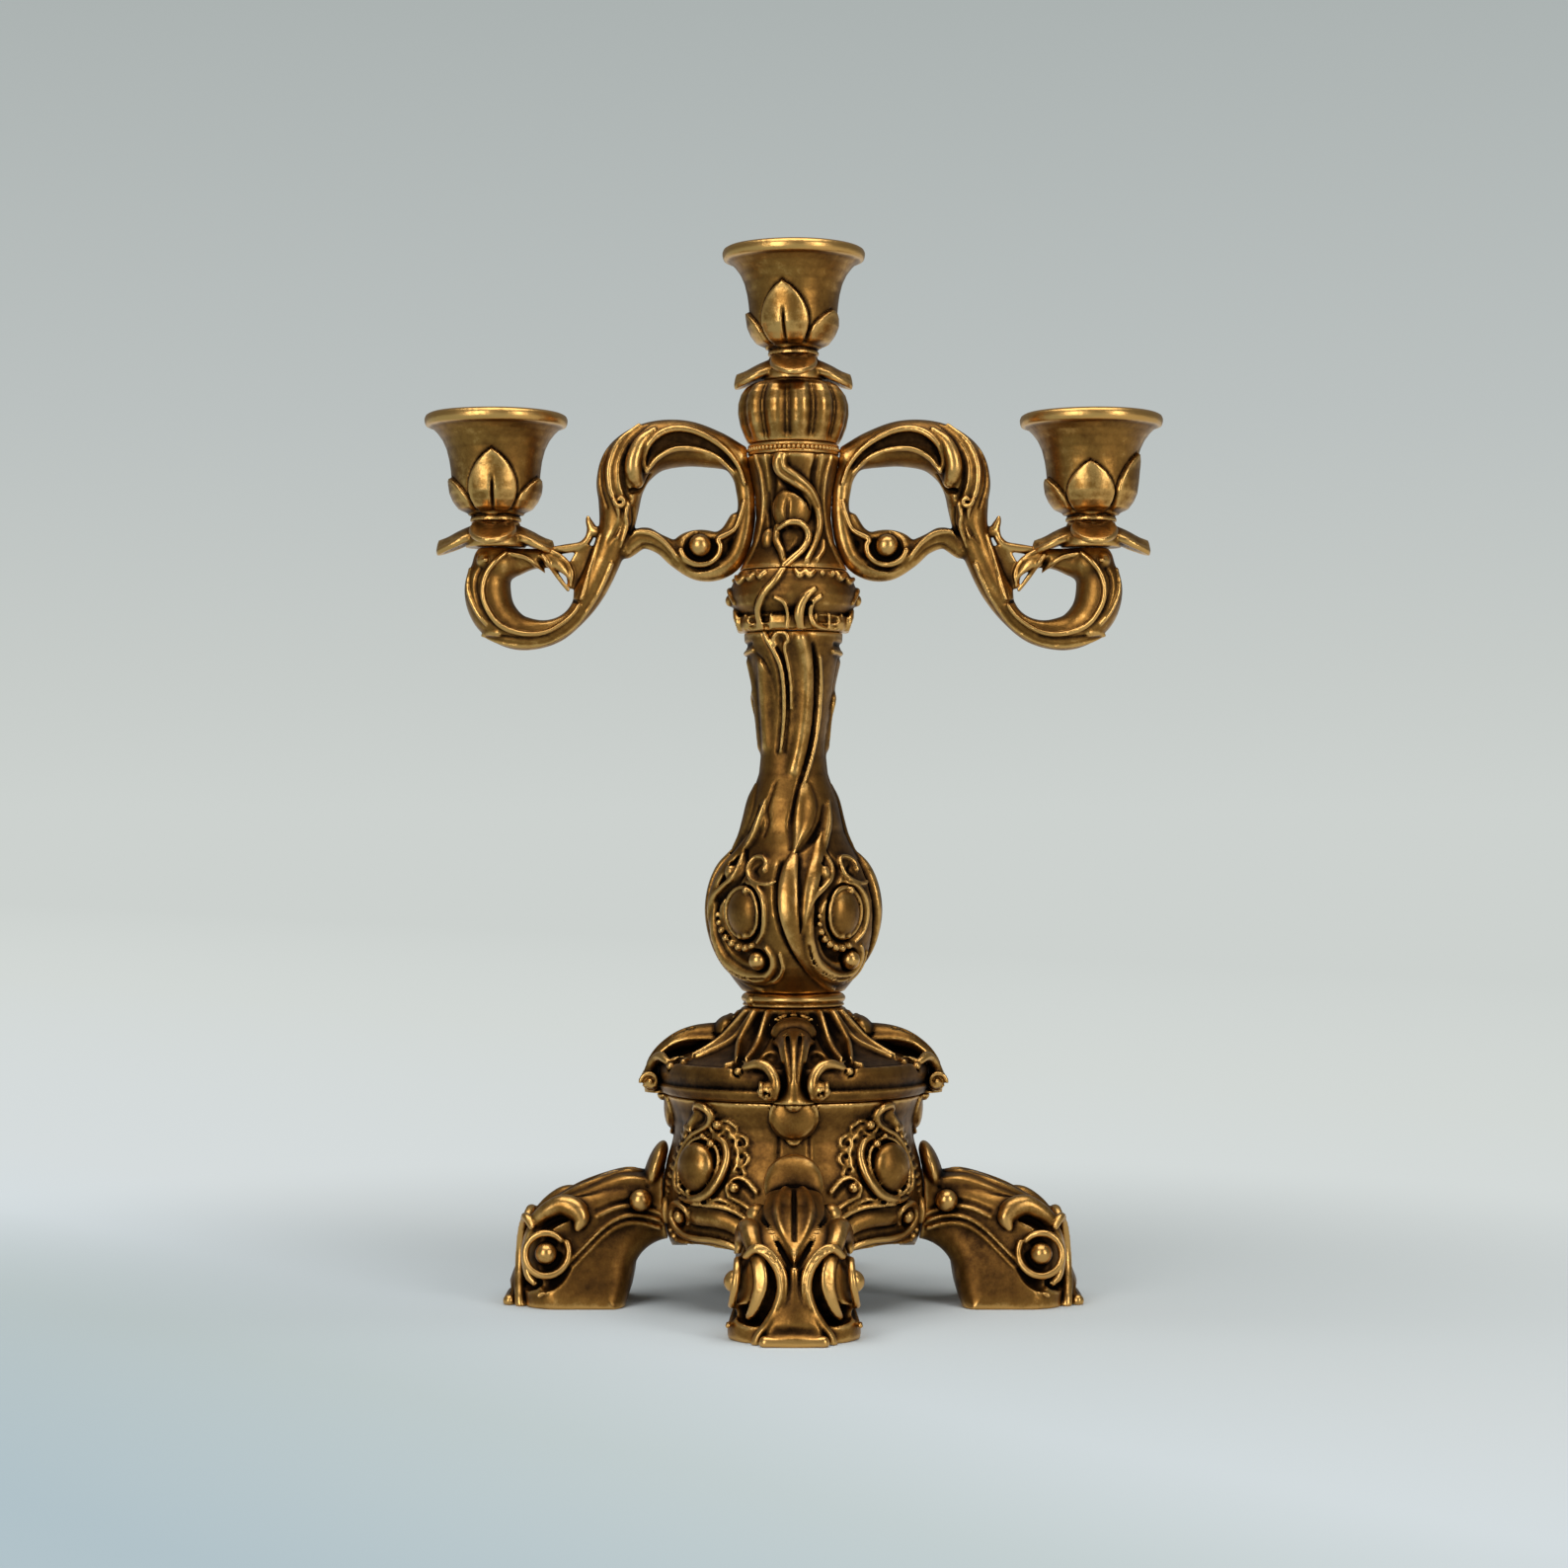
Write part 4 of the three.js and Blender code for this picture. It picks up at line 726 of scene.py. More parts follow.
# ---------------------------------------------------------------- the lid
# A shallow domed casting that closes the drum: a half-round band over a lip, a roof that sweeps up to the
# neck, and on each side a clasp whose straps roll over the band and end in volutes.
LID_OUTSIDE = [(0, 75.3), (46.6, 75.3), (47.6, 76), (49.0, 78.6), (48.9, 79.4), (48.1, 79.8), (48.6, 81),
               (48.9, 83), (48.6, 85.4), (47.6, 86.9), (46.2, 87.3), (45.4, 87.2), (41, 88.4), (36, 90.4),
               (30, 94), (25, 98), (21.6, 101.6), (19.4, 104.6), (18.4, 106), (0, 106)]
LID_INSIDE = [(0, 70), (41.5, 70), (41.5, 84.6), (36, 86.2), (14.2, 101.4), (0, 101.4)]


def roof(across, out, proud, *sizes):
    """A point on the roof of the +X clasp: across it, out from the axis and proud of the roof."""
    r, up = np.array(LID_OUTSIDE[11:-1]).T
    return (out, across, float(np.interp(-out, -r, up)) + proud, *sizes)


def clasp(wax, face):
    c, s = round(math.cos(math.radians(face))), round(math.sin(math.radians(face)))

    def line(marks, blend=0.5, carve=False, both=False, cup=None, up=1.0):
        """Marks drawn on the +X clasp as x, y, z, turned to this face, and mirrored across it."""
        for flip in ((1, -1) if both else (1,)):
            turned = [(x * c - flip * y * s, x * s + flip * y * c, z, *sizes) for x, y, z, *sizes in marks]
            if cup is None:
                wax.strand(turned, blend, carve)
            else:
                wax.strand(turned, blend, carve, face=lambda p: (c, s, up), cup=cup)

    def lump(centre, radii, blend=0.4, carve=False, lean=0.0, both=False):
        for flip in ((1, -1) if both else (1,)):
            x, y, z = centre[0], flip * centre[1], centre[2]
            out = np.array((c * math.cos(lean), s * math.cos(lean), math.sin(lean)))
            down = np.array((c * math.sin(lean), s * math.sin(lean), -math.cos(lean)))
            wax.pellet((x * c - y * s, x * s + y * c, z), radii, blend, carve, axes=(out, (-s, c, 0), down))

    # the saddle that rises from the roof, arches over the band and spreads at its foot, on a narrow web
    line([(34, 0, 92.6, 2.2), (39, 0, 91.4, 2.6), (44, 0, 89, 2.8), (47.6, 0, 85.6, 2.6)], 0.8)
    line([(28.5, 0, 95.8, 6.6, 1.5), (33, 0, 96.0, 5.7, 1.8), (38, 0, 95.6, 4.9, 2.0),
          (43, 0, 94.0, 4.3, 2.0), (47.4, 0, 90.8, 3.6, 1.9), (50.4, 0, 87.0, 2.8, 1.8),
          (51.8, 0, 83.2, 2.4, 1.6), (51.6, 0, 80.0, 2.9, 1.5), (50.6, 0, 77.6, 4.8, 1.4),
          (49.6, 0, 75.4, 7.2, 1.4)], 0.9, cup=-1.2)
    line([(31, 2.6, 97.0, 0.8), (37, 2.2, 97.4, 0.8), (43, 2.0, 95.8, 0.8), (48.2, 1.7, 92.0, 0.7),
          (51.8, 1.4, 87.4, 0.6), (53.2, 1.2, 83.4, 0.5)], 0.3, True, both=True)
    line([(29, 6.4, 95.0, 1.1), (33.5, 5.4, 95.0, 1.1), (38.4, 4.6, 94.6, 1.1), (43.4, 4.0, 93.0, 1.1),
          (47.6, 3.4, 89.8, 1.0)], 0.5, both=True)
    lump((38.5, 8.0, 90.6), (6.4, 3.4, 2.6), 0.8, True, both=True)
    lump((45.0, 8.4, 89.4), (3.8, 2.8, 2.6), 0.8, True, both=True)
    # the C-straps that roll over the band and end in volutes
    line([(43.6, 18.4, 86.6, 0.9), (45.6, 15.8, 87.9, 1.4), (47.2, 12.6, 88.8, 1.8), (49.0, 9.4, 88.0, 1.9),
          (51, 7.0, 85.0, 1.9), (52.2, 6.3, 81.4, 1.9), (51.6, 7.0, 78.2, 1.7)], 0.4, both=True)
    line([(47.0, 16.2, 86.4, 0.8), (49.0, 12.4, 86.4, 0.9), (50.6, 9.8, 84.4, 0.9), (51.6, 9.2, 82.0, 0.8)],
         0.3, True, both=True)
    lump((51.2, 9.0, 79.8), (3.5, 2.6, 3.5), 0.3, both=True)
    spiral = [(51.2 + (3.5 - 0.40 * t) * math.cos(t), 11.4, 79.8 + (3.5 - 0.40 * t) * math.sin(t), 0.8)
              for t in np.linspace(0, 7.0, 26)]
    line(spiral, 0.2, both=True)
    lump((51.2, 11.6, 79.8), (1.2, 1.2, 1.2), 0.2, both=True)
    lump((53.4, 9.4, 78.6), (1.5, 1.3, 1.5), 0.2, True, both=True)
    lump((53.0, 9.4, 78.4), (1.2, 0.8, 0.8), 0.1, both=True)
    # the cabochon in its frame under three flutes, on the clasp's neck
    lump((24.8, 0, 98.8), (3.6, 8.9, 6.6), 0.4, True, lean=0.72)
    lump((25.0, 0, 98.4), (3.6, 7.9, 5.4), 0.2, lean=0.72)
    line([(23.6 + 3.8 * math.cos(t), 8.6 * math.sin(t), 99.6 - 4.4 * math.cos(t), 0.8)
          for t in np.linspace(1.0, 5.28, 22)], 0.3)
    line([(21.4, 4.6, 101.9, 0.9), (22.6, 0, 102.5, 1.2), (21.4, -4.6, 101.9, 0.9)], 0.5)
    lump((27.6, 9.6, 93.9), (1.3, 1.3, 1.3), 0.2, both=True)
    for across in (0, 3.4):
        line([(18.4, across + 1.7, 107, 0.7), (19.6, across + 1.7, 104.2, 0.8),
              (20.6, across * 1.1 + 1.8, 103.0, 0.6)], 0.3, True, both=True)
    # the skirt of the clasp: long folds from the neck down to the band
    for turns, proud, size, cut in (((44, 42, 36, 29, 21), 0.7, 1.1, False),
                                    ((29, 26, 25, 26, 31), 0.6, 1.0, False),
                                    ((36, 34, 30.5, 27.5, 26), 0.2, 1.5, True),
                                    ((20, 20, 21, 22, 24), 0.0, 1.1, True)):
        fold = []
        for out, turn in zip((19.6, 27.7, 33.5, 40, 45.6), turns):
            a = math.radians(turn)
            fold.append((out * math.cos(a), out * math.sin(a), roof(0, out, proud)[2], size))
        line(fold, 1.0, cut, both=True)


wax = Wax((0, 0, 74.2), (57, 57, 107.2), 0.6)
wax.turn(LID_OUTSIDE)
wax.turn([(49.6, 79.0), (50.4, 79.6), (49.6, 80.0), (48.2, 79.6)], blend=0.5, carve=True)
wax.turn([(45.9, 86.6), (46.9, 87.6), (45.9, 88.6), (44.9, 87.6)], blend=0.5, carve=True)
for face in (0, 90):
    clasp(wax, face)
for a in (23.9, 66.1):
    c, s = math.cos(math.radians(a)), math.sin(math.radians(a))
    wax.pellet((47.7 * c, 47.7 * s, 86.0), 2.1, 0.3, True)
    wax.pellet((47.7 * c, 47.7 * s, 86.0), 1.45, 0.1)
wax.turn(LID_INSIDE, carve=True)
wax.bore(ROD_HOLE, 60, 120)
wax.trim((0, 0, 75.3), (0, 0, -1))
wax.trim((0, 0, 106), (0, 0, 1))
wax.mirror(0)
wax.mirror(1)
# The lid is painted darkest of all the castings: painted shade.
casting("lid", wax.pour(), "base", painted_shade=0.10)


# ---------------------------------------------------------------- the collar
# A moulded brass ring on the lid, a half-round between two fillets, that the column turns on.
COLLAR_FOOT = 106.3
COLLAR_OUTSIDE = [(0, 0), (17.4, 0), (18.4, 0.4), (18.4, 0.9), (17.6, 1.3), (18.2, 1.7), (18.9, 2.7),
                  (18.6, 3.7), (17.8, 4.5), (16.8, 5), (0, 5)]

wax = Wax((-21.6, -21.6, -1), (21.6, 21.6, 6.2), 0.45)
wax.turn(COLLAR_OUTSIDE)
for k in range(2):
    a = math.radians(-147.6 + 180 * k)
    wax.pellet((17.4 * math.cos(a), 17.4 * math.sin(a), 2.5), (2.5, 2.5, 2.3), 0.3)
wax.bore(ROD_HOLE, -5, 12)
casting("collar", wax.pour(), "base", at=(0, 0, COLLAR_FOOT))


# ---------------------------------------------------------------- the column
# The baluster is one hollow casting: a square-set vase with an oval cabochon in a shell crescent on each of
# its four faces and a long leaf down each corner, and above it a shaft of twisting folds that a thin stem
# runs down.
COLUMN_OUTSIDE = [(0, 111.6), (18.3, 111.6), (18.9, 112.4), (21.0, 115), (23.2, 118), (24.9, 121),
                  (27.4, 127), (29.2, 133), (30.2, 139), (30.0, 145), (28.3, 151), (25.4, 157), (22.4, 161),
                  (20.0, 165), (18.2, 169), (17.2, 174), (15.8, 181), (14.4, 185), (12.7, 190), (12.0, 196),
                  (12.1, 202), (12.8, 209), (13.7, 216), (14.7, 223), (15.8, 229), (16.9, 234), (17.6, 237),
                  (17.8, 240.6), (0, 240.6)]
COLUMN_INSIDE = [(0, 105), (13.6, 105), (13.6, 114.6), (21.1, 131.6), (21.1, 144.6), (13.8, 166.6),
                 (7.4, 184.6), (7.4, 200.6), (12.6, 232.6), (0, 232.6)]
VASE_SQUARENESS = 0.155


def column_skin(a, z):
    square = VASE_SQUARENESS * np.clip(1 - np.abs(z - 137) / 34, 0, 1) ** 0.6 * (1 - np.cos(4 * a)) / 2
    fold = 0.035 * np.clip(1 - np.abs(z - 200) / 34, 0, 1) * np.cos(4 * (a + (z - 200) * 0.016 - 0.5))
    return radius_at(COLUMN_OUTSIDE, z) * (1 - square + fold)


def on_column(wax, face, marks, blend=0.5, carve=False, cup=None):
    """Press one line of wax onto the column, or cut it in; with a cup it is a leaf that lies flat to the
    skin."""
    line = laid(column_skin, math.radians(face), marks)
    if cup is None:
        wax.strand(line, blend, carve)
    else:
        wax.strand(line, blend, carve, face=lambda p: (p[0], p[1], 0), cup=cup)


def vase_face(wax, face):
    """The cabochon in its double frame, the string of beads, and the shell crescent that ends in a ball."""
    on_column(wax, face, [(-3.5, 162, 0.2, 0.9), (-1, 156, 0.2, 1.3), (-3.5, 151.4, 0.1, 1.5),
                          (-9, 147.4, 0.1, 1.7), (-13.4, 143, 0, 1.7), (-13.6, 137, 0, 1.5)], 0.6, True)
    oval = [(8.2 * math.sin(a), 140.4 + 9.3 * math.cos(a), 0.0, 1.5)
            for a in np.linspace(0, 2 * math.pi, 22)]
    on_column(wax, face, oval, 0.6, True)
    on_column(wax, face, [(-10, 132, 0, 1.9), (-6, 127, 0, 2.2), (0, 124.6, 0, 2.2), (4, 126, 0, 1.6)], 0.8,
              True)
    a = math.radians(face)
    out, side = (math.cos(a), math.sin(a), 0), (-math.sin(a), math.cos(a), 0)
    x, y, z = laid(column_skin, a, [(0, 140.4, -0.7)])[0]
    wax.pellet((x, y, z), (3.9, 7.2, 8.3), 0.2, axes=(out, side, (0, 0, 1)))
    on_column(wax, face, [(8.0 * math.sin(a), 140.4 + 9.0 * math.cos(a), 0.2, 0.75)
                          for a in np.linspace(0, 2 * math.pi, 22)], 0.3)
    on_column(wax, face, [(1.5, 151.2, 0.2, 0.6), (6.5, 149.8, 0.3, 0.9), (10.4, 145.4, 0.2, 1.0),
                          (11.2, 139.4, 0.2, 1.0), (9.8, 133.4, 0.2, 0.9), (6.4, 129.8, 0.2, 0.6)], 0.3)
    for u, z, r in ((2.4, 148.4, 1.35), (1.6, 132.3, 1.25), (-1.3, 132.0, 1.1)):
        wax.pellet(laid(column_skin, a, [(u, z, 0.9)])[0], r, 0.2)
    for u, z, r in ((-12.7, 139.4, 1.0), (-12.4, 136.6, 1.15), (-11.3, 133.8, 1.3), (-9.3, 131.2, 1.4),
                    (-6.5, 129.3, 1.5), (-3.3, 128.1, 1.55), (0.1, 127.8, 1.5), (3.4, 128.6, 1.35)):
        wax.pellet(laid(column_skin, a, [(u, z, 0.1)])[0], r, 0.1)
    crescent = [(-15.6, 143, -0.6, 1.0), (-16.6, 137, -0.6, 1.9), (-15.6, 130, -0.4, 2.6),
                (-12.2, 123.8, -0.3, 2.9), (-6.6, 119.8, -0.3, 2.9), (-0.4, 117.8, -0.3, 2.6),
                (6, 117.8, -0.3, 2.1), (10.6, 120.4, -0.2, 1.6), (12.0, 124.6, -0.1, 1.3),
                (10.2, 128.2, 0.0, 0.9)]
    on_column(wax, face, crescent, 0.5)
    on_column(wax, face, [(u, z - 1.0, 2.0, 0.5) for u, z, _, _ in crescent[2:7]], 0.3, True)
    on_column(wax, face, [(-17.6, 140, 0.5, 0.6), (-18.3, 133, 0.5, 0.7), (-16.2, 125.4, 0.4, 0.75),
                          (-11.4, 119.2, 0.4, 0.75), (-4.4, 115.8, 0.4, 0.7), (3.6, 115.0, 0.4, 0.7),
                          (10.4, 116.6, 0.4, 0.7), (14.4, 120.6, 0.4, 0.7), (15, 126, 0.3, 0.6)], 0.4)
    ball = laid(column_skin, a, [(5.4, 123.4, 0.3)])[0]
    wax.pellet(ball, 4.3, 0.4, True)
    wax.pellet(ball, 3.4, 0.2)
    # the bud above, its rim, and the hooked edge of the panel
    wax.pellet(laid(column_skin, a, [(-8.4, 154.4, -0.4)])[0], (2.3, 2.3, 3.1), 0.8)
    wax.pellet(laid(column_skin, a, [(-8.0, 157.4, 0.6)])[0], 1.1, 0.4, True)
    on_column(wax, face, [(-4.6, 161.4, 0.4, 0.7), (-4.2, 157, 0.5, 0.8), (-6.2, 152.6, 0.5, 0.9),
                          (-10.6, 149.2, 0.5, 1.0), (-14.8, 146, 0.3, 1.1), (-17.2, 141.4, 0.2, 1.0)], 0.5)
    on_column(wax, face, [(8.6, 155.8, 0.4, 0.9), (8.2, 158.4, 0.6, 0.9), (5.6, 160.2, 0.6, 0.8),
                          (2.0, 160.0, 0.5, 0.75), (0.6, 157, 0.4, 0.75), (2.0, 153.6, 0.4, 0.8),
                          (5.6, 151.4, 0.4, 0.8), (10.6, 150.6, 0.3, 0.7), (14.4, 151.6, 0.2, 0.6)], 0.4)
    on_column(wax, face, [(5.6, 157.2, 0.2, 0.9), (4.0, 155.4, 0.2, 1.1), (6.4, 153.6, 0.3, 0.8)], 0.4, True)


def corner_leaf(wax, face):
    """The long leaf down a corner of the vase, its second lobe, and the facetted leaf that meets it from
    above."""
    on_column(wax, face, [(-4.4, 158.5, 0, 0.9), (-6.2, 151.5, 0, 1.0), (-6.4, 144.5, 0, 1.0),
                          (-5.2, 137, 0, 0.9), (-2.4, 129.6, 0, 0.8), (3, 122, 0, 0.8), (9, 116.2, 0, 0.7),
                          (13, 113.2, 0, 0.7)], 0.5, True)
    leaf = [(0.6, 161.5, 0.2, 1.4, 0.9), (-1.0, 155, 0.5, 3.2, 1.1), (-1.6, 148, 0.7, 3.9, 1.2),
            (-1.5, 141, 0.8, 3.7, 1.2), (-0.2, 134, 0.7, 3.0, 1.1), (2.2, 127, 0.6, 2.3, 1.0),
            (6.0, 120.6, 0.5, 1.8, 0.9), (11, 115.2, 0.4, 1.4, 0.8), (14, 112.8, 0.3, 1.1, 0.8)]
    on_column(wax, face, leaf, 0.6, cup=-0.9)
    on_column(wax, face, [(2.6, 161, 0.6, 0.9), (2.2, 154, 0.9, 0.9), (2.3, 147, 1.0, 0.85),
                          (2.4, 140, 1.0, 0.7), (2.6, 133.6, 0.8, 0.5)], 0.4, True)
    lobe = [(9.6, 168.5, 0.0, 1.2, 0.8), (8.6, 161, 0.3, 2.4, 1.0), (7.0, 153.6, 0.5, 2.9, 1.0),
            (5.2, 146.6, 0.6, 2.4, 1.0), (4.0, 140, 0.6, 1.6, 0.9), (3.6, 134, 0.5, 0.8, 0.8)]
    on_column(wax, face, lobe, 0.6, cup=-0.8)
    on_column(wax, face, [(10.6, 161.5, 0.1, 0.7), (9.8, 154, 0.1, 0.9), (8.2, 147, 0.2, 0.9),
                          (6.4, 141.4, 0.2, 0.9), (6.0, 136, 0.1, 0.8)], 0.4, True)
    on_column(wax, face, [(10.8, 178.5, 0.1, 0.7), (9.9, 173, 0.2, 1.1), (7.4, 167.6, 0.2, 1.25),
                          (3.8, 163.6, 0.3, 1.0), (0.6, 161, 0.3, 0.6)], 0.4, True)
    facet = [(4.6, 184.5, -0.2, 2.4, 0.9), (4.6, 178.5, 0.2, 3.9, 1.1), (3.6, 172.5, 0.4, 3.6, 1.1),
             (1.9, 167.2, 0.4, 2.2, 1.0), (0.4, 162.8, 0.3, 0.7, 0.9)]
    on_column(wax, face, facet, 0.3, cup=-1.1)
    on_column(wax, face, [(12.6, 180, 0, 0.6), (12.4, 173, 0.3, 1.2), (11.2, 167, 0.4, 1.4),
                          (10.2, 161, 0.3, 0.9)], 0.7)


def shaft_front(wax, face):
    """The overlapping folds of the shaft, with the stem and the small volute at its head."""
    on_column(wax, face, [(6.9, 236, 0.4, 1.0), (7.6, 230, 0.2, 1.5), (8.0, 222, 0.1, 1.5),
                          (7.4, 209, 0.1, 1.3), (5.5, 198, 0.1, 1.1), (2.8, 188.5, 0.1, 0.95),
                          (0.4, 179.5, 0.1, 0.85), (-1.4, 171, 0.1, 0.8), (-1.4, 163, 0.1, 0.7)], 0.4, True)
    on_column(wax, face, [(9.4, 231.5, 0.1, 0.6), (9.7, 222, 0.2, 0.75), (9.0, 210, 0.3, 0.75),
                          (7.2, 199, 0.3, 0.75), (4.4, 189, 0.3, 0.7), (2.2, 183, 0.2, 0.5)], 0.5)
    on_column(wax, face, [(2.6, 238, -0.6, 2.4), (4.2, 231, -1.0, 2.6), (4.6, 222, -1.0, 2.5),
                          (4.2, 212, -1.0, 2.5), (2.6, 201, -1.0, 2.4), (0.2, 191, -1.2, 2.4)], 1.8)
    stem = [(-10.2, 240.6, 0.6, 0.9), (-8.8, 237.2, 0.6, 0.9), (-6.6, 233.4, 0.6, 0.9),
            (-4.4, 228, 0.6, 0.85), (-3.4, 221, 0.6, 0.8), (-3.2, 212, 0.5, 0.75), (-3.8, 204, 0.4, 0.65),
            (-4.6, 197.6, 0.2, 0.5)]
    for side in (-1.25, 1.25):
        on_column(wax, face, [(u + side, z, 0.1, 0.65) for u, z, _, _ in stem], 0.3, True)
    on_column(wax, face, stem, 0.3)
    on_column(wax, face, [(-6.4, 235.4, 0.3, 0.6), (-7.2, 237.6, 0.4, 0.8), (-5.8, 239.9, 0.4, 0.8),
                          (-3.0, 239.9, 0.4, 0.8), (-1.9, 237.6, 0.4, 0.75), (-3.2, 235.0, 0.4, 0.7),
                          (-2.0, 229, 0.4, 0.65), (-1.0, 222, 0.4, 0.6), (-0.8, 213, 0.3, 0.5)], 0.4)
    on_column(wax, face, [(-4.6, 238.1, 0.3, 0.9), (-4.5, 236.4, 0.3, 0.7)], 0.3, True)
    on_column(wax, face, [(-11.4, 229, -1.2, 2.2), (-10.9, 219, -1.1, 2.3), (-10.4, 208, -1.0, 1.9),
                          (-10.2, 200, -1.1, 1.6)], 1.8)
    for vein in ([(-13.2, 233, 0.2, 0.5), (-10.2, 229.4, 0.3, 0.65), (-7.6, 223.4, 0.3, 0.6),
                  (-6.4, 216.6, 0.2, 0.4)],
                 [(-9.6, 231.4, 0.2, 0.5), (-7.6, 226.4, 0.3, 0.6), (-6.3, 220.6, 0.3, 0.5),
                  (-6.1, 216.6, 0.2, 0.4)]):
        on_column(wax, face, vein, 0.3, True)
    on_column(wax, face, [(-6.6, 186.5, 0.1, 0.5), (-8.4, 181.4, 0.2, 0.8), (-9.6, 177, 0.2, 0.9),
                          (-9.2, 172, 0.1, 0.8), (-10.6, 167.4, 0.1, 0.7)], 0.4, True)


def shaft_side(wax, face):
    """The side panel: a banded neck, a long ridge and a small rolled leaf."""
    on_column(wax, face, [(-9.5, 236.3, 0.3, 0.9), (-3, 236.0, 0.3, 1.1), (4, 236.0, 0.3, 1.0),
                          (9, 236.6, 0.3, 0.8)], 0.3, True)
    on_column(wax, face, [(-9.5, 233.6, 0.3, 0.9), (-3, 233.2, 0.3, 1.0), (4, 233.4, 0.3, 1.0),
                          (9, 234, 0.3, 0.8)], 0.4)
    on_column(wax, face, [(-2.5, 231, 0.2, 0.9), (-1.6, 222, 0.1, 0.9), (-1, 214, 0.1, 0.7)], 0.5, True)
    on_column(wax, face, [(3, 219, 0.2, 0.7), (0.6, 217.4, 0.5, 1.0), (-0.6, 214, 0.4, 1.1),
                          (0.6, 210, 0.2, 0.8), (1.0, 203, 0.0, 0.6)], 0.5)
    on_column(wax, face, [(-1.8, 208, 0.2, 0.6), (-2.2, 198, 0.2, 0.6), (-3, 188, 0.1, 0.6),
                          (-3.4, 180, 0.1, 0.6)], 0.3, True)
    on_column(wax, face, [(2.2, 230, -1.0, 2.0), (3.4, 222, -1.2, 2.0), (3.2, 212, -1.2, 2.0),
                          (1.8, 200, -1.2, 2.2)], 1.6)


wax = Wax((-33, -33, 110.4), (33, 33, 241.8), 0.58)
wax.turn(COLUMN_OUTSIDE, relief(column_skin, COLUMN_OUTSIDE))
for front in (-90, 90):
    shaft_front(wax, front)
    shaft_side(wax, front + 90)
for k in range(4):
    corner_leaf(wax, -90 + 90 * k)
    vase_face(wax, -45 + 90 * k)
wax.turn(COLUMN_INSIDE, carve=True)
wax.bore(ROD_HOLE, 100, 250)
wax.trim((0, 0, 111.6), (0, 0, -1))
wax.trim((0, 0, 240.6), (0, 0, 1))
casting("column", wax.pour(), "branches", painted_shade=0.02)


# ---------------------------------------------------------------- the cap
# A short cast collar over the column's mouth: box recesses between brackets below, a cushion belt with
# curled stems above, and a ragged edge of leaves under the hub. The column's neck fits into its bore.
CAP_OUTSIDE = [(0, 240.9), (18.9, 240.9), (20.4, 241.6), (21.0, 243.6), (20.8, 245.8), (19.6, 246.9),
               (20.6, 247.9), (22.2, 250.2), (22.8, 253.6), (22.5, 257), (21.2, 260.2), (19.4, 262.9),
               (0, 262.9)]
CAP_BORE = 17.4
CAP_DECK = 258.4


def cap_skin(a, z):
    return radius_at(CAP_OUTSIDE, z)


def on_cap(wax, face, marks, blend=0.4, carve=False):
    wax.strand(laid(cap_skin, math.radians(face), marks), blend, carve)


def cap_front(wax, face):
    for side in (-1, 1):
        on_cap(wax, face, [(side * 9.6, 244.8, -0.5, 1.3), (side * 12.6, 244.6, -0.4, 1.5),
                           (side * 15.4, 244.6, -0.4, 1.3)], 0.4, True)
        on_cap(wax, face, [(side * 9.6, 242.0, -0.5, 1.0), (side * 12.6, 241.8, -0.4, 1.1),
                           (side * 15.4, 241.8, -0.4, 1.0)], 0.4, True)
        for across in (7.8, 12.4, 16.8):
            on_cap(wax, face, [(side * across, 246.4, 0.4, 0.6), (side * across, 241.2, 0.5, 0.6)], 0.3)
        on_cap(wax, face, [(side * 18.2, 240.9, 0.2, 1.3), (side * 19.6, 244.4, 0.3, 1.5),
                           (side * 20.6, 248.4, 0.2, 1.1)], 0.5)
    stem = [(-3.2, 263.2, 0.6, 1.3), (-6.2, 258.6, 0.3, 1.4), (-10.0, 254.4, 0.2, 1.4),
            (-12.0, 250.2, 0.4, 1.3), (-12.0, 246.4, 1.0, 1.2), (-10.8, 240.9, 0.7, 1.1)]
    on_cap(wax, face, [(u - 1.6, z - 0.6, 0.2, 0.8) for u, z, _, _ in stem[1:-1]], 0.3, True)
    on_cap(wax, face, stem, 0.3)
    on_cap(wax, face, [(2.6, 241.4, 0.2, 1.4), (1.8, 245.6, 0.8, 1.8), (2.6, 249.6, 0.2, 1.8),
                       (4.8, 253.0, 0.0, 1.3), (7.4, 255.2, 0.1, 0.8)])
    on_cap(wax, face, [(9.4, 252.6, 0.3, 0.8), (6.6, 250.4, 0.3, 0.9), (5.6, 246.4, 1.0, 1.0),
                       (7.2, 242.8, 0.7, 1.0), (11, 241.2, 0.5, 0.9)])
    on_cap(wax, face, [(4.6, 249.8, 0.3, 0.8), (6.0, 250.2, 0.3, 0.8)], 0.3, True)
    on_cap(wax, face, [(-2.4, 241.6, 0.3, 0.7), (-2.0, 246.4, 1.0, 0.7), (-3.4, 250.4, 0.3, 0.7),
                       (-6.6, 252.2, 0.3, 0.6)])
    # the ragged leaf edge
    for across, up in ((-18.8, 259.2), (-15.2, 260.2), (-11.4, 260.6), (2.2, 260.6), (5.6, 260.8),
                       (16.6, 260.2), (19.6, 259.0)):
        on_cap(wax, face, [(across - 1.5, up + 1.4, 0.3, 0.9), (across - 0.2, up - 0.6, 0.5, 1.1),
                           (across + 1.5, up + 0.9, 0.4, 0.9)], 0.3)
        on_cap(wax, face, [(across - 0.2, up + 1.7, 0.8, 0.7), (across, up + 3, 0.6, 0.7)], 0.3, True)
    for across in (9.8, 13.4):
        wax.pellet(laid(cap_skin, math.radians(face), [(across, 261.2, 0.8)])[0], 1.1, 0.2)


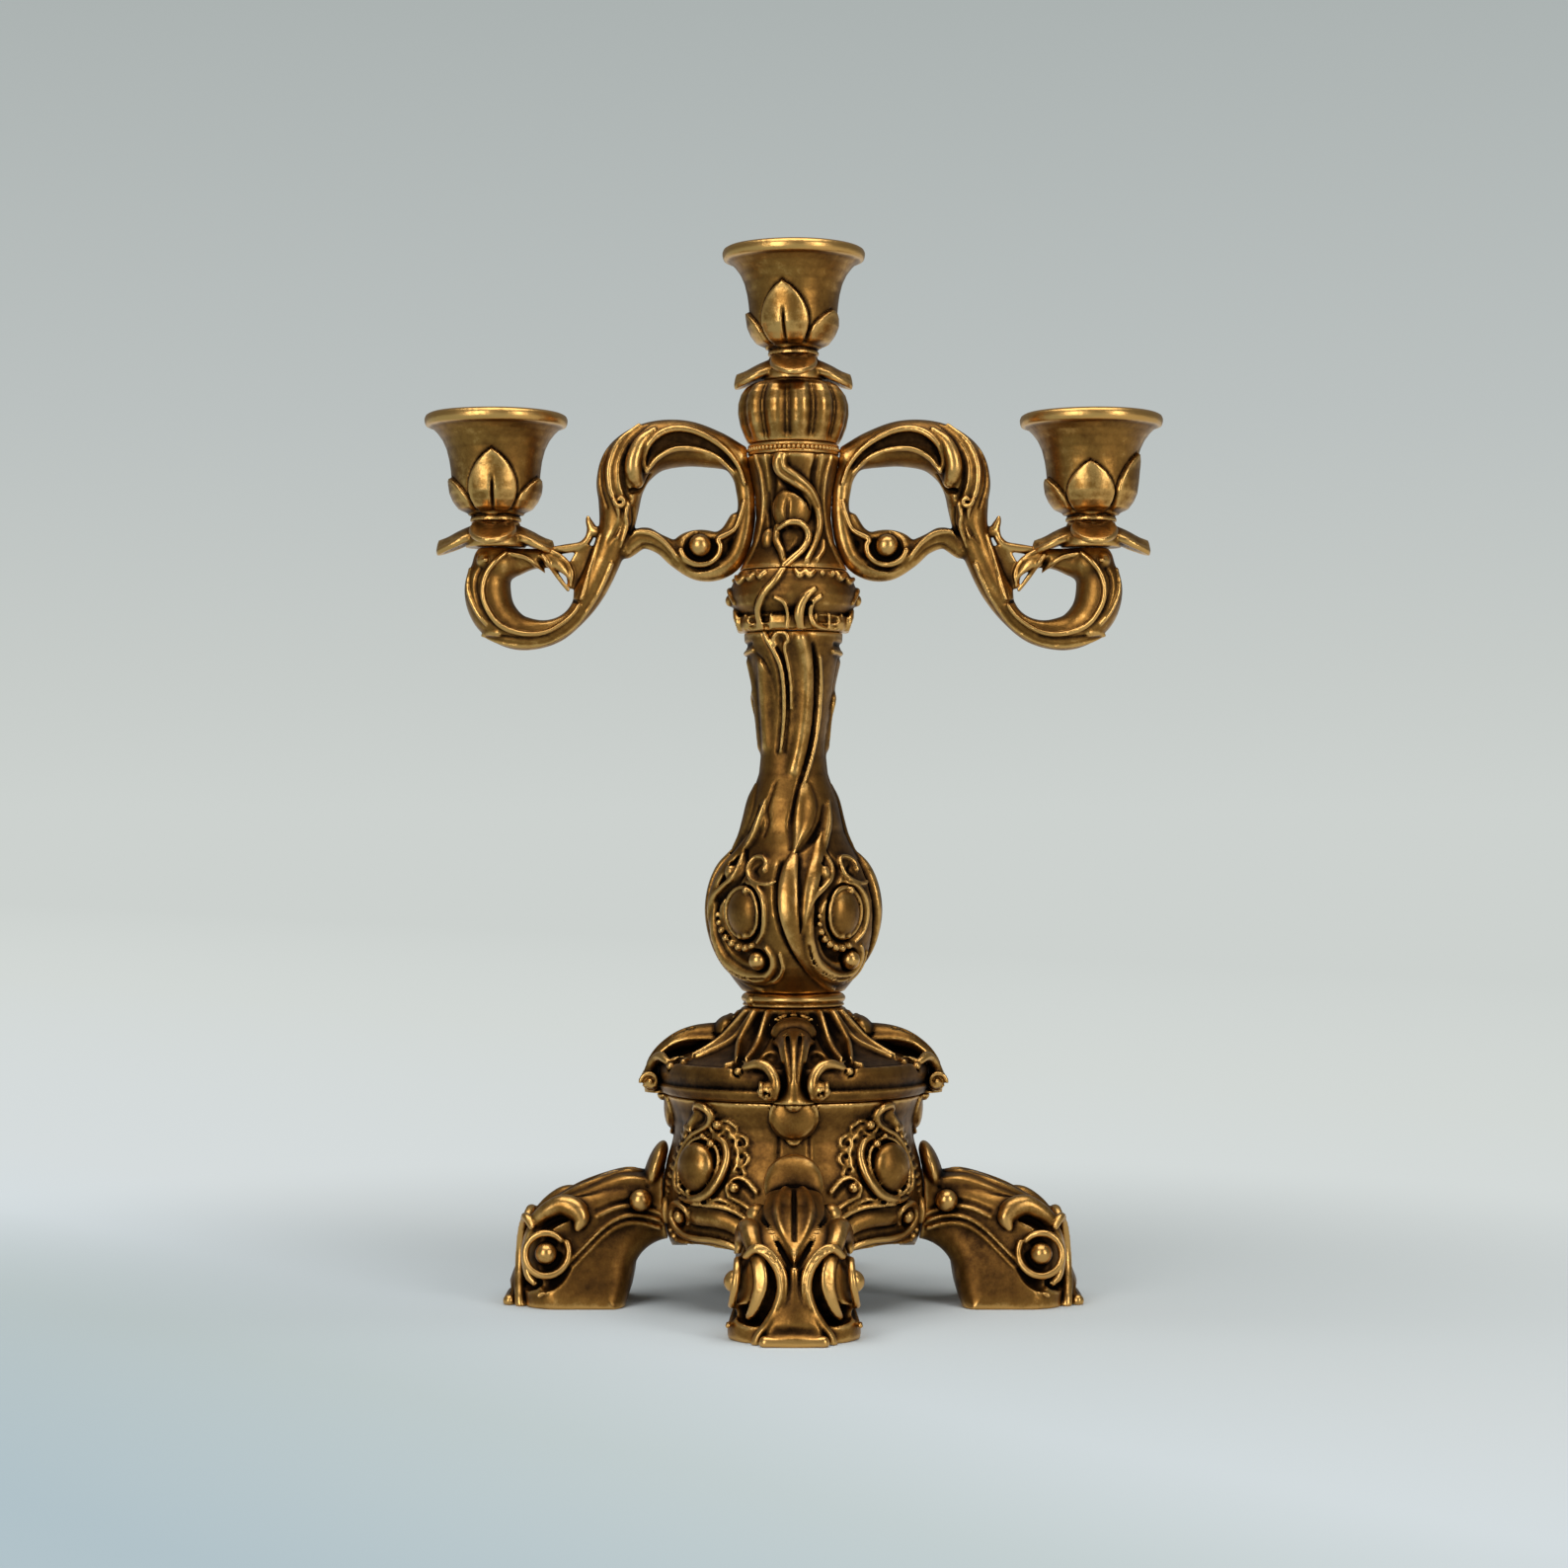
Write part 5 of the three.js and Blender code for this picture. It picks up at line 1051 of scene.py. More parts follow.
wax = Wax((-25, -25, 239.8), (25, 25, 264), 0.5)
wax.turn(CAP_OUTSIDE)
for face in (-90, 90):
    cap_front(wax, face)
for face in (0, 180):
    on_cap(wax, face, [(-6.4, 244, 0.1, 1.7), (6.4, 244, 0.1, 1.7)], 0.5, True)
    on_cap(wax, face, [(-7.6, 251, 0.2, 0.8), (-4, 254.6, 0.4, 1.0), (0, 256, 0.4, 1.1),
                       (4, 254.6, 0.4, 1.0), (7.6, 251, 0.2, 0.8)])
    wax.pellet(laid(cap_skin, math.radians(face), [(0, 252.4, 0.2)])[0], (1.8, 2.6, 2.2), 0.3)
wax.bore(CAP_BORE, 230, CAP_DECK)
wax.bore(ROD_HOLE, 230, 270)
wax.trim((0, 0, 240.9), (0, 0, -1))
wax.trim((0, 0, 262.9), (0, 0, 1))
casting("cap", wax.pour(), "branches", painted_shade=0.02)


# ---------------------------------------------------------------- the hub
# A waisted casting between the two branches, threaded on the tie rod. A long leaf winds down its front and
# back round a hanging bud; its bare sides take the branches' pads.
HUB_OUTSIDE = [(0, 263.2), (19.5, 263.2), (17.5, 267.2), (14.9, 273.2), (13.5, 282.2), (14.1, 291.2),
               (15.55, 298.2), (16.8, 304.2), (0, 304.2)]
STUD_LEVEL = 288.0
STUD_HOLE = 1.8


def hub_skin(a, z):
    return radius_at(HUB_OUTSIDE, z)


def on_hub(wax, face, marks, blend=0.5, carve=False):
    wax.strand(laid(hub_skin, math.radians(face), marks), blend, carve)


def hub_front(wax, face):
    for side in (-1, 1):
        on_hub(wax, face, [(side * 13.9, 304.2, -0.2, 0.9), (side * 11.6, 297, -0.1, 0.9),
                           (side * 10.6, 289, 0, 0.9), (side * 11.2, 281, 0, 0.9),
                           (side * 12.8, 273.6, 0, 0.9), (side * 15.2, 268, -0.2, 0.9),
                           (side * 17.6, 263.6, -0.4, 0.9)])
        on_hub(wax, face, [(side * 8.8, 303, 0.3, 1.4), (side * 7.4, 296, 0.4, 1.7),
                           (side * 7.6, 288, 0.6, 1.5)], 0.8, True)
    # the bud, hooded by the winding leaf, with a groove along each
    x, y, z = laid(hub_skin, math.radians(face), [(-0.6, 284.2, -0.9)])[0]
    wax.pellet((x, y, z), (7.0, 4.6, 8.2), 0.3)
    on_hub(wax, face, [(-1.6, 287.6, 3.4, 0.6), (-1.9, 283, 4.0, 0.9), (-1.6, 278.6, 3.2, 0.7)], 0.5, True)
    on_hub(wax, face, [(-8.8, 290, 0.3, 0.9), (-9.0, 284, 0.2, 1.1), (-8.4, 278, 0.3, 0.9)], 0.4, True)
    leaf = [(-2.0, 306.4, -0.8, 1.6), (-4.6, 302.6, -0.4, 2.7), (-4.0, 298.4, 0.0, 2.9),
            (0.8, 294.6, 0.4, 2.7), (5.2, 290.6, 0.6, 2.3), (8.0, 284.6, 0.6, 1.7), (8.9, 278.5, 0.3, 1.4),
            (7.4, 272, 0.2, 1.3), (4.6, 265.6, 0.1, 1.2)]
    on_hub(wax, face, leaf, 0.4)
    on_hub(wax, face, [(-4.4, 301.4, 2.8, 0.7), (-3.6, 297.6, 3.2, 1.0), (0.8, 294.2, 3.5, 1.0),
                       (5.0, 290.2, 3.2, 0.8), (7.6, 285, 2.4, 0.6)], 0.4, True)
    on_hub(wax, face, [(-7.7, 302.4, 0.0, 0.8), (-7.4, 297.4, 0.2, 0.9), (-3.4, 293, 0.6, 0.9),
                       (1.6, 289.6, 1.4, 0.9), (5.2, 284.6, 1.6, 0.8)], 0.3, True)
    # the folded leaf below the bud
    on_hub(wax, face, [(-1.2, 277, 1.6, 1.4), (1.8, 275.0, 1.4, 1.6), (1.2, 271.6, 0.8, 1.5),
                       (-1.6, 268.6, 0.5, 1.2)], 0.5, True)
    on_hub(wax, face, [(-4.6, 277.2, 2.4, 0.9), (-1.4, 279.2, 3.2, 1.1), (2.0, 279.0, 3.0, 1.2),
                       (4.4, 276.4, 2.0, 1.25), (4.6, 273.0, 1.2, 1.3), (2.8, 269.4, 0.8, 1.3),
                       (-0.4, 266.2, 0.6, 1.3), (-3.4, 263.4, 0.5, 1.3)], 0.3)
    on_hub(wax, face, [(-5.6, 278, 0.4, 1.2), (-5.8, 273.4, 0.5, 1.5), (-4.2, 269, 0.4, 1.4),
                       (-3.4, 265.2, 0.2, 1.1)], 0.4)
    x, y, z = laid(hub_skin, math.radians(face), [(-9.0, 273.2, -0.8)])[0]
    wax.pellet((x, y, z), (2.8, 2.4, 4.4), 0.4)
    on_hub(wax, face, [(8.4, 266.2, 0, 0.9), (10.6, 269.8, 0, 0.8), (10.8, 273.2, 0, 0.7)], 0.4)


wax = Wax((-22, -22, 262), (22, 22, 305.4), 0.46)
wax.turn(HUB_OUTSIDE)
for face in (-90, 90):
    hub_front(wax, face)
wax.bore(ROD_HOLE, 250, 310)
wax.strand([(-24, 0, STUD_LEVEL, STUD_HOLE), (24, 0, STUD_LEVEL, STUD_HOLE)], 0, True)
wax.trim((0, 0, 263.2), (0, 0, -1))
wax.trim((0, 0, 304.2), (0, 0, 1))
casting("hub", wax.pour(), "branches", painted_shade=0.03)


# ---------------------------------------------------------------- the branches
# Each branch is one casting: an arch that starts at the hub, falls in a long curve and closes on itself in
# a ring under its light, with a second scroll sweeping back to the hub below. Both sides carry the same
# ornament.
BRANCH_LINE = [(20.4, 304.2, 5.0), (29.2, 307.2, 6.8), (39.9, 309.2, 8.4), (51.0, 307.8, 9.2),
               (59.0, 302.4, 9.7), (62.2, 295.6, 8.9), (62.8, 288.6, 7.6), (64.0, 278.6, 6.3),
               (67.4, 268.8, 5.8), (72.7, 257.2, 5.5), (79.3, 248.3, 5.2), (88, 242.0, 5.6),
               (99.3, 241.0, 6.4), (107.8, 247.4, 8.0), (110.4, 257.0, 8.3), (107.4, 264.6, 6.8),
               (99.0, 266.8, 5.0), (92.0, 267.4, 4.2), (86.4, 265.6, 4.2), (83.0, 261.4, 3.3),
               (81.4, 256.8, 1.6)]
SCROLL_LINE = [(60.5, 271.4, 3.8), (54.4, 275.0, 3.9), (47.4, 272.8, 3.8), (41.4, 267.6, 3.8),
               (34.4, 263.4, 3.7), (27, 263.6, 3.7), (21.2, 267.8, 3.7), (18.2, 275.6, 3.6),
               (17.0, 285.9, 3.5), (17.9, 296, 3.6), (21.4, 303.4, 4.2)]
SEAT = (107.5, 271.3)
SEAT_HOLE_FOOT = 264.3


def drawn(wax, marks):
    """Marks drawn on the side of the wax as x, z, how proud, and sizes; they follow whatever wax is
    there."""
    line = smooth([(x, z, 0, proud, *sizes) for x, z, proud, *sizes in marks], 1.1)
    depth = []
    for x, z in line[:, :2]:
        column = wax.skin[int(round((x - wax.axes[0][0]) / wax.grain)), :,
                          int(round((z - wax.axes[2][0]) / wax.grain))]
        held = np.flatnonzero(column < 0)
        depth.append(wax.axes[1][held[-1]] + min(-float(column[held[-1]]), wax.grain) if len(held) else 0.0)
    depth = np.convolve(np.pad(depth, 2, "edge"), np.ones(5) / 5, "valid")
    return [(x, y + proud, z, *sizes) for (x, z, _, proud, *sizes), y in zip(line, depth)]


wax = Wax((12, 0, 231), (121, 12, 320.5), 0.5)
wax.strand([(x, 0, z, r) for x, z, r in BRANCH_LINE], 0.5)
wax.strand([(x, 0, z, r) for x, z, r in SCROLL_LINE], 1.2)
# the loop at the hub and the ring's hole, which flares towards its faces
for x, z, wide, high, flaring in ((37.6, 287.0, 17.4, 13.0, 0.1), (90.3, 254.8, 11.0, 9.5, 0.3)):
    cut, (gx, gy, gz) = wax.everywhere()
    flare = 1 + flaring * np.clip((gy - 2) / 7, 0, 1) ** 1.5
    away = np.hypot((gx - x) / wide, (gz - z) / high) / flare - 1
    wax.press(cut, (away * min(wide, high)).astype(np.float32), 0.8, True)
# the web that joins the ring's leaf to the stem, and the thorn above it
wax.strand([(74.6, 0, 268, 4.6, 1.1), (78.0, 0, 263, 3.8, 1.1), (79.6, 0, 258.6, 2.0, 1.1)], 0.6,
           face=(0, 1, 0))
wax.strand([(70.0, 0, 277, 2.2), (72.2, 0, 277.8, 1.9), (73.6, 0, 280.4, 1.4), (74.2, 0, 282.4, 0.8)], 0.6)
wax.strand([(73.4, 0, 277.6, 1.3), (73.9, 0, 275, 1.5), (76.4, 0, 272.4, 1.6), (80.5, 0, 271.4, 1.7),
            (86, 0, 270.8, 1.7)], 0.6)
wax.pellet((33.5, 0, 271.3), (10.6, 4.6, 6.8), 1.2)
wax.strand([(28, 0, 273.6, 3.0), (23.6, 0, 276.6, 3.0), (20.8, 0, 281.6, 2.6)], 1.0)
wax.pellet((107.4, 0, 266), (8.3, 8.3, 8), 1.0)
# the trough along the arch, the folded leaf that closes it, and the rims and grooves beside them
wax.strand(drawn(wax, [(21.5, 300, 0.9, 1.6), (26.2, 305, 0.7, 2.3), (32.8, 308.6, 0.5, 2.9),
                       (40.4, 310.2, 0.4, 3.1), (46.8, 308.6, 0.4, 3.0), (51.4, 304.6, 0.6, 2.4),
                       (53.0, 300.4, 0.8, 1.5)]), 0.7, True)
wax.strand(drawn(wax, [(50.0, 313.2, -0.4, 1.2), (54.8, 308.6, -0.9, 2.4), (57.4, 302.4, -1.0, 3.1),
                       (57.4, 297.6, -0.9, 3.2), (56.0, 294.6, -0.6, 2.2)]), 0.4)
for marks in ([(17.6, 294.5, 0.1, 0.7), (19.6, 300.2, 0.1, 0.8), (23.4, 305.4, 0.2, 0.95),
               (28.7, 309.6, 0.2, 1.1), (35.3, 312.8, 0.2, 1.2), (42, 313.8, 0.2, 1.25),
               (47.6, 312.0, 0.3, 1.2), (52.0, 307.8, 0.4, 1.1), (53.8, 302.4, 0.4, 1.0),
               (52.8, 298.4, 0.3, 0.8)],
              [(52.8, 298.4, 0.1, 0.7), (49.0, 303.0, 0.3, 0.9), (44.0, 305.8, 0.3, 0.95),
               (38.4, 306.6, 0.3, 0.95), (31.5, 305.6, 0.2, 0.9), (26.0, 302.8, 0.2, 0.8),
               (21.5, 298.2, 0.1, 0.7)],
              [(55.6, 315.2, 0.2, 0.9), (62.8, 308.8, 0.3, 1.1), (66.0, 300.6, 0.3, 1.2),
               (65.8, 292.6, 0.3, 1.1), (63.8, 286.8, 0.2, 0.9), (62.2, 281, 0.2, 0.8),
               (63.2, 275, 0.1, 0.7)],
              [(64.4, 288.2, 0.4, 0.8), (63.6, 286.4, 0.5, 0.85), (61.8, 286.0, 0.5, 0.85),
               (60.8, 287.4, 0.5, 0.85), (61.6, 288.9, 0.6, 0.8), (62.6, 288.4, 0.7, 0.8)],
              [(59.4, 287, 0.1, 0.7), (60.3, 283, 0.2, 0.8), (59.9, 279.4, 0.2, 0.8),
               (60.9, 275.4, 0.2, 0.8), (62.2, 271.6, 0.1, 0.7)],
              [(61.4, 270.4, 0.2, 0.8), (60.6, 273.6, 0.3, 1.0), (58, 276.3, 0.3, 1.1),
               (54.4, 277.0, 0.3, 1.1), (50.6, 276.2, 0.3, 1.1), (47, 273.8, 0.3, 1.0),
               (44, 270.6, 0.3, 0.9), (41.6, 267.4, 0.2, 0.8), (37.7, 264.2, 0.1, 0.7)]):
    wax.strand(drawn(wax, marks), 0.35)
for marks in ([(52.6, 315.6, 0.1, 0.6), (58.2, 309.6, 0.1, 0.9), (61.4, 302.0, 0.1, 1.1),
               (61.2, 295, 0.0, 1.1), (59.6, 290.6, 0.0, 1.3), (58.6, 288.4, 0.1, 0.8)],
              [(51.8, 297.4, 0.2, 0.7), (54.6, 292.6, 0.1, 1.0), (58.2, 291.4, 0.0, 1.2)],
              [(66.4, 308.4, 0.2, 0.6), (69.4, 300.4, 0.1, 0.9), (69.2, 292.6, 0.1, 0.9),
               (67.0, 285.6, 0.2, 0.6)],
              [(61.4, 284.4, 0.3, 0.7), (62.0, 280.2, 0.2, 0.9), (64.0, 276.4, 0.2, 0.9),
               (66.6, 272.6, 0.3, 0.6)],
              [(57.8, 285.6, 0.2, 0.6), (57.8, 280, 0.1, 0.9), (59.4, 275, 0.1, 0.9),
               (61.8, 269.6, 0.2, 0.7)],
              [(42.0, 267.6, 0.2, 0.7), (39.2, 264.9, 0.0, 1.0), (35.3, 263.6, 0.0, 1.1),
               (30.8, 264.0, 0.0, 1.0), (27.2, 265.4, 0.1, 0.7)],
              [(57.6, 269.8, 0.5, 0.6), (53.2, 272.2, 0.5, 0.8), (48.4, 270.6, 0.5, 0.8),
               (44.6, 267.2, 0.5, 0.6)]):
    wax.strand(drawn(wax, marks), 0.35, True)
ball = drawn(wax, [(33.5, 272.0, -1.2, 4.0), (33.7, 272.2, -1.2, 4.0)])
pit = drawn(wax, [(33.5 + 5.0 * math.cos(a), 272.0 + 5.0 * math.sin(a), 0, 1.3)
                  for a in np.linspace(-3.6, 1.2, 14)])
wax.strand(pit, 0.4, True)
wax.strand(ball, 0.2)
wax.strand(drawn(wax, [(33.5 + 7.2 * math.cos(a), 271.6 + 6.4 * math.sin(a), 0.3, 1.1)
                       for a in np.linspace(-0.2, -3.6, 12)] + [(21.6, 277.6, 0.3, 0.95),
        (19.4, 282, 0.2, 0.85), (17.8, 288, 0.1, 0.7)]), 0.35)
# the ring: its flared band, grooves, coin boss and closing leaf
for marks in ([(103.4, 269.2, 0.2, 0.8), (106.6, 266.3, 0.3, 0.95), (109.6, 262.6, 0.3, 1.0),
               (111.4, 257.4, 0.3, 1.0), (111.0, 252, 0.3, 1.0), (108.6, 246.8, 0.3, 1.0),
               (105, 243.0, 0.3, 1.0), (100.1, 240.8, 0.3, 0.95), (94.4, 240.0, 0.3, 0.9),
               (88.3, 241.0, 0.3, 0.85), (82.2, 244.7, 0.2, 0.8), (78.1, 249.0, 0.2, 0.75),
               (76.0, 254, 0.1, 0.7), (74.0, 261, 0.1, 0.7), (72.0, 268, 0.1, 0.7), (69.6, 276, 0, 0.6)],
              [(88.6, 262.2, 0.1, 0.6), (92, 264.8, 0.2, 0.8), (96.6, 267.6, 0.2, 0.9),
               (102.5, 269.0, 0.2, 0.9)],
              [(81.4, 256.2, 0.2, 0.6), (84.6, 260.6, 0.3, 0.9), (87.6, 264.8, 0.3, 0.9),
               (90.4, 268.6, 0.2, 0.7)],
              [(80.4, 257.6, 0.1, 0.6), (80.0, 262.4, 0.2, 0.8), (82.4, 267.0, 0.2, 0.9),
               (87.6, 270.2, 0.1, 0.8)],
              [(116.4, 263.6, 0.2, 0.7), (117.2, 258, 0.2, 0.8), (116.2, 253, 0.2, 0.8),
               (113.4, 247.4, 0.2, 0.8), (110.4, 243.6, 0.2, 0.7)],
              [(112.0, 239.9, 0.2, 0.6), (106.6, 237.6, 0.2, 0.8), (100, 236.0, 0.2, 0.85),
               (92.4, 236.0, 0.2, 0.8), (85, 238.4, 0.2, 0.7), (78.6, 243, 0.2, 0.7),
               (73.4, 249.6, 0.2, 0.7), (68.8, 257.4, 0.2, 0.7), (65.4, 265.4, 0.1, 0.7)]):
    wax.strand(drawn(wax, marks), 0.35)
for marks in ([(111.9, 264.4, 0.3, 0.8), (113.9, 260.4, 0.3, 0.9), (114.1, 255.8, 0.3, 0.9),
               (112.5, 250.5, 0.3, 0.9), (109.6, 245.4, 0.3, 0.8), (107.0, 242.4, 0.3, 0.6)],
              [(110.4, 240.9, 0.2, 0.6), (105.8, 239.3, 0.2, 0.8), (100.4, 238.6, 0.2, 0.8),
               (94, 238.2, 0.2, 0.7), (88, 239.4, 0.2, 0.6)],
              [(91.8, 267.2, 0.1, 0.7), (90.0, 264.8, 0.0, 1.0), (88.2, 261.8, 0.1, 0.8),
               (87.4, 260.2, 0.2, 0.6)],
              [(80.4, 252.8, 0.1, 0.7), (78.4, 251.8, 0.2, 0.8), (76.0, 251.6, 0.2, 0.6)]):
    wax.strand(drawn(wax, marks), 0.35, True)
coin = drawn(wax, [(110.4, 266.6, -0.3, 3.4), (110.6, 266.5, -0.3, 3.4)])
wax.strand([(x, y + 1.2, z, 1) for x, y, z, _ in coin], 0)
wax.strand([(x, y - 2.4, z, r) for x, y, z, r in coin], 0.3)
wax.strand(drawn(wax, [(112.0, 239.8, -0.4, 0.7), (109.6, 240.8, -0.6, 1.3), (106, 240.6, -0.8, 1.6)]), 0.4)
# the seat for the drip leaf and its screw hole, and room for the hub
wax.turn([(0, 271.3), (8.5, 271.3), (8.7, 271.1), (16, 271.1), (22, 272.2), (26, 273), (26, 330), (0, 330)],
         carve=True, centre=(SEAT[0], 0))
wax.bore(SCREW_HOLE, SEAT_HOLE_FOOT, 280, (SEAT[0], 0))
wax.turn([(0, 225)] + [(r + 0.06, z) for r, z in HUB_OUTSIDE[1:-1]] + [(17.2, 330), (0, 330)], carve=True)
wax.mirror(1)
poured = wax.pour()
casting("branch_right", poured, "branches")
casting("branch_left", poured, "branches", turn=math.pi)


# ---------------------------------------------------------------- the bead ring
# A thin turned ring of sixty small beads between two fillets, laid on top of the hub under the knop.
BEADS = 60
BEAD_RING_OUTSIDE = [(ROD_HOLE, 0), (16.0, 0), (16.5, 0.5), (16.5, 1.0), (15.8, 1.4), (15.8, 2.6),
                     (16.5, 3.0), (16.5, 3.5), (16.0, 4), (ROD_HOLE, 4)]


def bead_tree():
    """Geometry nodes that string round beads along a circle and join them to the ring."""
    tree = bpy.data.node_groups.new("String of beads", "GeometryNodeTree")
    tree.interface.new_socket("Ring", in_out="INPUT", socket_type="NodeSocketGeometry")
    tree.interface.new_socket("Beads", in_out="INPUT", socket_type="NodeSocketInt")
    for key in ("Ring radius", "Bead radius", "Level"):
        tree.interface.new_socket(key, in_out="INPUT", socket_type="NodeSocketFloat")
    tree.interface.new_socket("Metal", in_out="INPUT", socket_type="NodeSocketMaterial")
    tree.interface.new_socket("Beaded ring", in_out="OUTPUT", socket_type="NodeSocketGeometry")
    start, end = node(tree, "NodeGroupInput"), node(tree, "NodeGroupOutput")
    circle = node(tree, "GeometryNodeMeshCircle")
    move = node(tree, "GeometryNodeSetPosition")
    level = node(tree, "ShaderNodeCombineXYZ")
    bead = node(tree, "GeometryNodeMeshUVSphere", Segments=14, Rings=9)
    string = node(tree, "GeometryNodeInstanceOnPoints")
    real = node(tree, "GeometryNodeRealizeInstances")
    round_off = node(tree, "GeometryNodeSetShadeSmooth")
    shiny = node(tree, "GeometryNodeStoreNamedAttribute", Name="hollow", Value=0.36)
    clean = node(tree, "GeometryNodeStoreNamedAttribute", Name="deep", Value=0.42)
    join = node(tree, "GeometryNodeJoinGeometry")
    metal = node(tree, "GeometryNodeSetMaterial")
    for a, b in ((start.outputs["Beads"], circle.inputs["Vertices"]),
                 (start.outputs["Ring radius"], circle.inputs["Radius"]),
                 (start.outputs["Level"], level.inputs["Z"]), (circle.outputs[0], move.inputs["Geometry"]),
                 (level.outputs[0], move.inputs["Offset"]),
                 (start.outputs["Bead radius"], bead.inputs["Radius"]),
                 (move.outputs[0], string.inputs["Points"]),
                 (bead.outputs["Mesh"], string.inputs["Instance"]), (string.outputs[0], real.inputs[0]),
                 (real.outputs[0], round_off.inputs[0]), (round_off.outputs[0], shiny.inputs["Geometry"]),
                 (shiny.outputs[0], clean.inputs["Geometry"]), (clean.outputs[0], join.inputs[0]),
                 (start.outputs["Ring"], join.inputs[0]), (join.outputs[0], metal.inputs["Geometry"]),
                 (start.outputs["Metal"], metal.inputs["Material"]), (metal.outputs[0], end.inputs[0])):
        tree.links.new(a, b)
    return tree


wax = Wax((-17.6, -17.6, 303.6), (17.6, 17.6, 309.4), 0.4)
wax.turn([(r, z + 304.5) for r, z in BEAD_RING_OUTSIDE])
ring = casting("bead_ring", wax.pour(), "branches")
string = ring.modifiers.new("Beads", "NODES")
string.node_group = bead_tree()
for socket, value in (("Beads", BEADS), ("Ring radius", 16.1 * MM), ("Bead radius", 0.82 * MM),
                      ("Level", 306.5 * MM), ("Metal", BRASS)):
    string[string.node_group.interface.items_tree[socket].identifier] = value
beaded = bpy.data.meshes.new_from_object(ring.evaluated_get(bpy.context.evaluated_depsgraph_get()))
ring.modifiers.remove(string)
ring.data = beaded


# ---------------------------------------------------------------- the knop
# A round casting of twelve swelling gadroons with a fine bead of metal along each groove. The tie rod
# screws into it from below and pulls the whole stand together; the centre light is screwed to its top.
KNOP_FOOT = 308.8
KNOP_OUTSIDE = [(0, 0), (16.3, 0), (17.6, 2.2), (19.2, 6.2), (20.1, 10.8), (20.0, 14.5), (19.0, 17.8),
                (17.2, 20.3), (14.6, 21.9), (12, 22.5), (0, 22.5)]
GADROONS = 12


def gadroons(angle, z):
    pitch = 2 * math.pi / GADROONS
    off = (angle + math.pi / 2 + 0.13 + pitch / 2) % pitch - pitch / 2
    across = np.abs(off) * 19.5
    valley = 2.5 * np.clip(1 - across / 4.4, 0, 1) ** 1.8
    thread = 1.3 * np.exp(-(across / 0.46) ** 2)
    ends = np.clip(z / 3, 0.25, 1) * np.clip((24 - z) / 5, 0.3, 1)
    return ((thread - valley) * ends).astype(np.float32)


wax = Wax((-21.6, -21.6, -1), (21.6, 21.6, 24), 0.48)
wax.turn(KNOP_OUTSIDE, gadroons)
wax.bore(ROD_HOLE, -3, 12.3)
wax.bore(SCREW_HOLE, 15.5, 25)
casting("knop", wax.pour(), "branches", at=(0, 0, KNOP_FOOT))


# ---------------------------------------------------------------- the drip leaves
# Under each cup lies a casting of four spoon-shaped leaves round a short neck. It catches the wax, and the
# cup's screw clamps it to its seat.
LEAF_SEATS = {"centre": (0, 0, 331.6), "right": (107.5, 0, 271.6), "left": (-107.5, 0, 271.6)}
LEAF_HEIGHT = 9.0


wax = Wax((-24, -24, -5), (24, 24, 10.2), 0.5)
wax.turn([(0, 0), (10.8, 0), (11, 3), (9.6, 5.2), (8.3, 7.2), (8.9, 9), (0, 9)])
for k in range(4):
    c, s = round(math.cos(k * math.pi / 2)), round(math.sin(k * math.pi / 2))
    if s:
        spoon = [(6, 7.6, 4.4, 1.3), (9, 6.4, 7.2, 1.2), (12, 4.6, 8.3, 1.1), (15, 3.0, 7.7, 1.0),
                 (17.6, 1.7, 5.8, 0.9), (19.2, 1.0, 3.4, 0.8), (19.8, 0.9, 1.0, 0.8)]
        cup = 1.0
    else:
        spoon = [(6, 7.4, 4.6, 1.3), (9, 6.6, 6.4, 1.2), (12.4, 5.2, 7.0, 1.1), (15.4, 3.7, 6.2, 1.0),
                 (18.0, 2.6, 4.8, 0.9), (19.6, 2.0, 3.0, 0.9), (20.3, 1.8, 1.2, 0.9)]
        cup = -3.6
    wax.strand([(r * c, r * s, z, w, t) for r, z, w, t in spoon], 0.9, face=lambda p: (c * 0.4, s * 0.4, 1),
               cup=cup)
    for side in (1, -1):
        rim = [(r * c - side * w * 0.9 * s, r * s + side * w * 0.9 * c, z + cup * 0.85, 0.95) for r, z, w,
               t in spoon[1:]]
        wax.strand(rim, 0.5)
    wax.strand([(r * c, r * s, z + 1.3, 0.5) for r, z, w, t in spoon[1:-2]], 0.5, carve=True)
wax.bore(SCREW_HOLE, -9, 12)
wax.trim((0, 0, LEAF_HEIGHT), (0, 0, 1))
poured = wax.pour()
for name, seat in LEAF_SEATS.items():
    casting(f"drip_leaf_{name}", poured, "branches", math.pi if name == "right" else 0.0, seat)


# ---------------------------------------------------------------- the three cups
# Each candle cup is cast as an open flower: a belly wrapped by five petals, a flaring mouth and a rolled
# lip. One screw through its floor holds it down, and it is turned about the screw until its petals look
# well.
CUP_SEATS = {"centre": (0, 0, 340.9), "right": (107.5, 0, 280.9), "left": (-107.5, 0, 280.9)}
CUP_TURNS = {"centre": -0.23, "right": 3.67, "left": 0.0}
CUP_OUTSIDE = [(0, 0), (9.3, 0), (9.1, 1.2), (8.4, 2.2), (9.6, 3.2), (12.0, 4.5), (13.9, 7), (15.2, 10),
               (15.8, 14), (16.2, 18.5), (16.7, 22), (17.7, 26), (19.2, 29.3), (21.2, 32.0), (23.2, 33.9),
               (24.4, 34.0), (25.3, 34.5), (25.7, 35.7), (25.8, 36.9), (25.3, 38.1), (24.0, 38.8),
               (22.4, 39), (0, 39)]
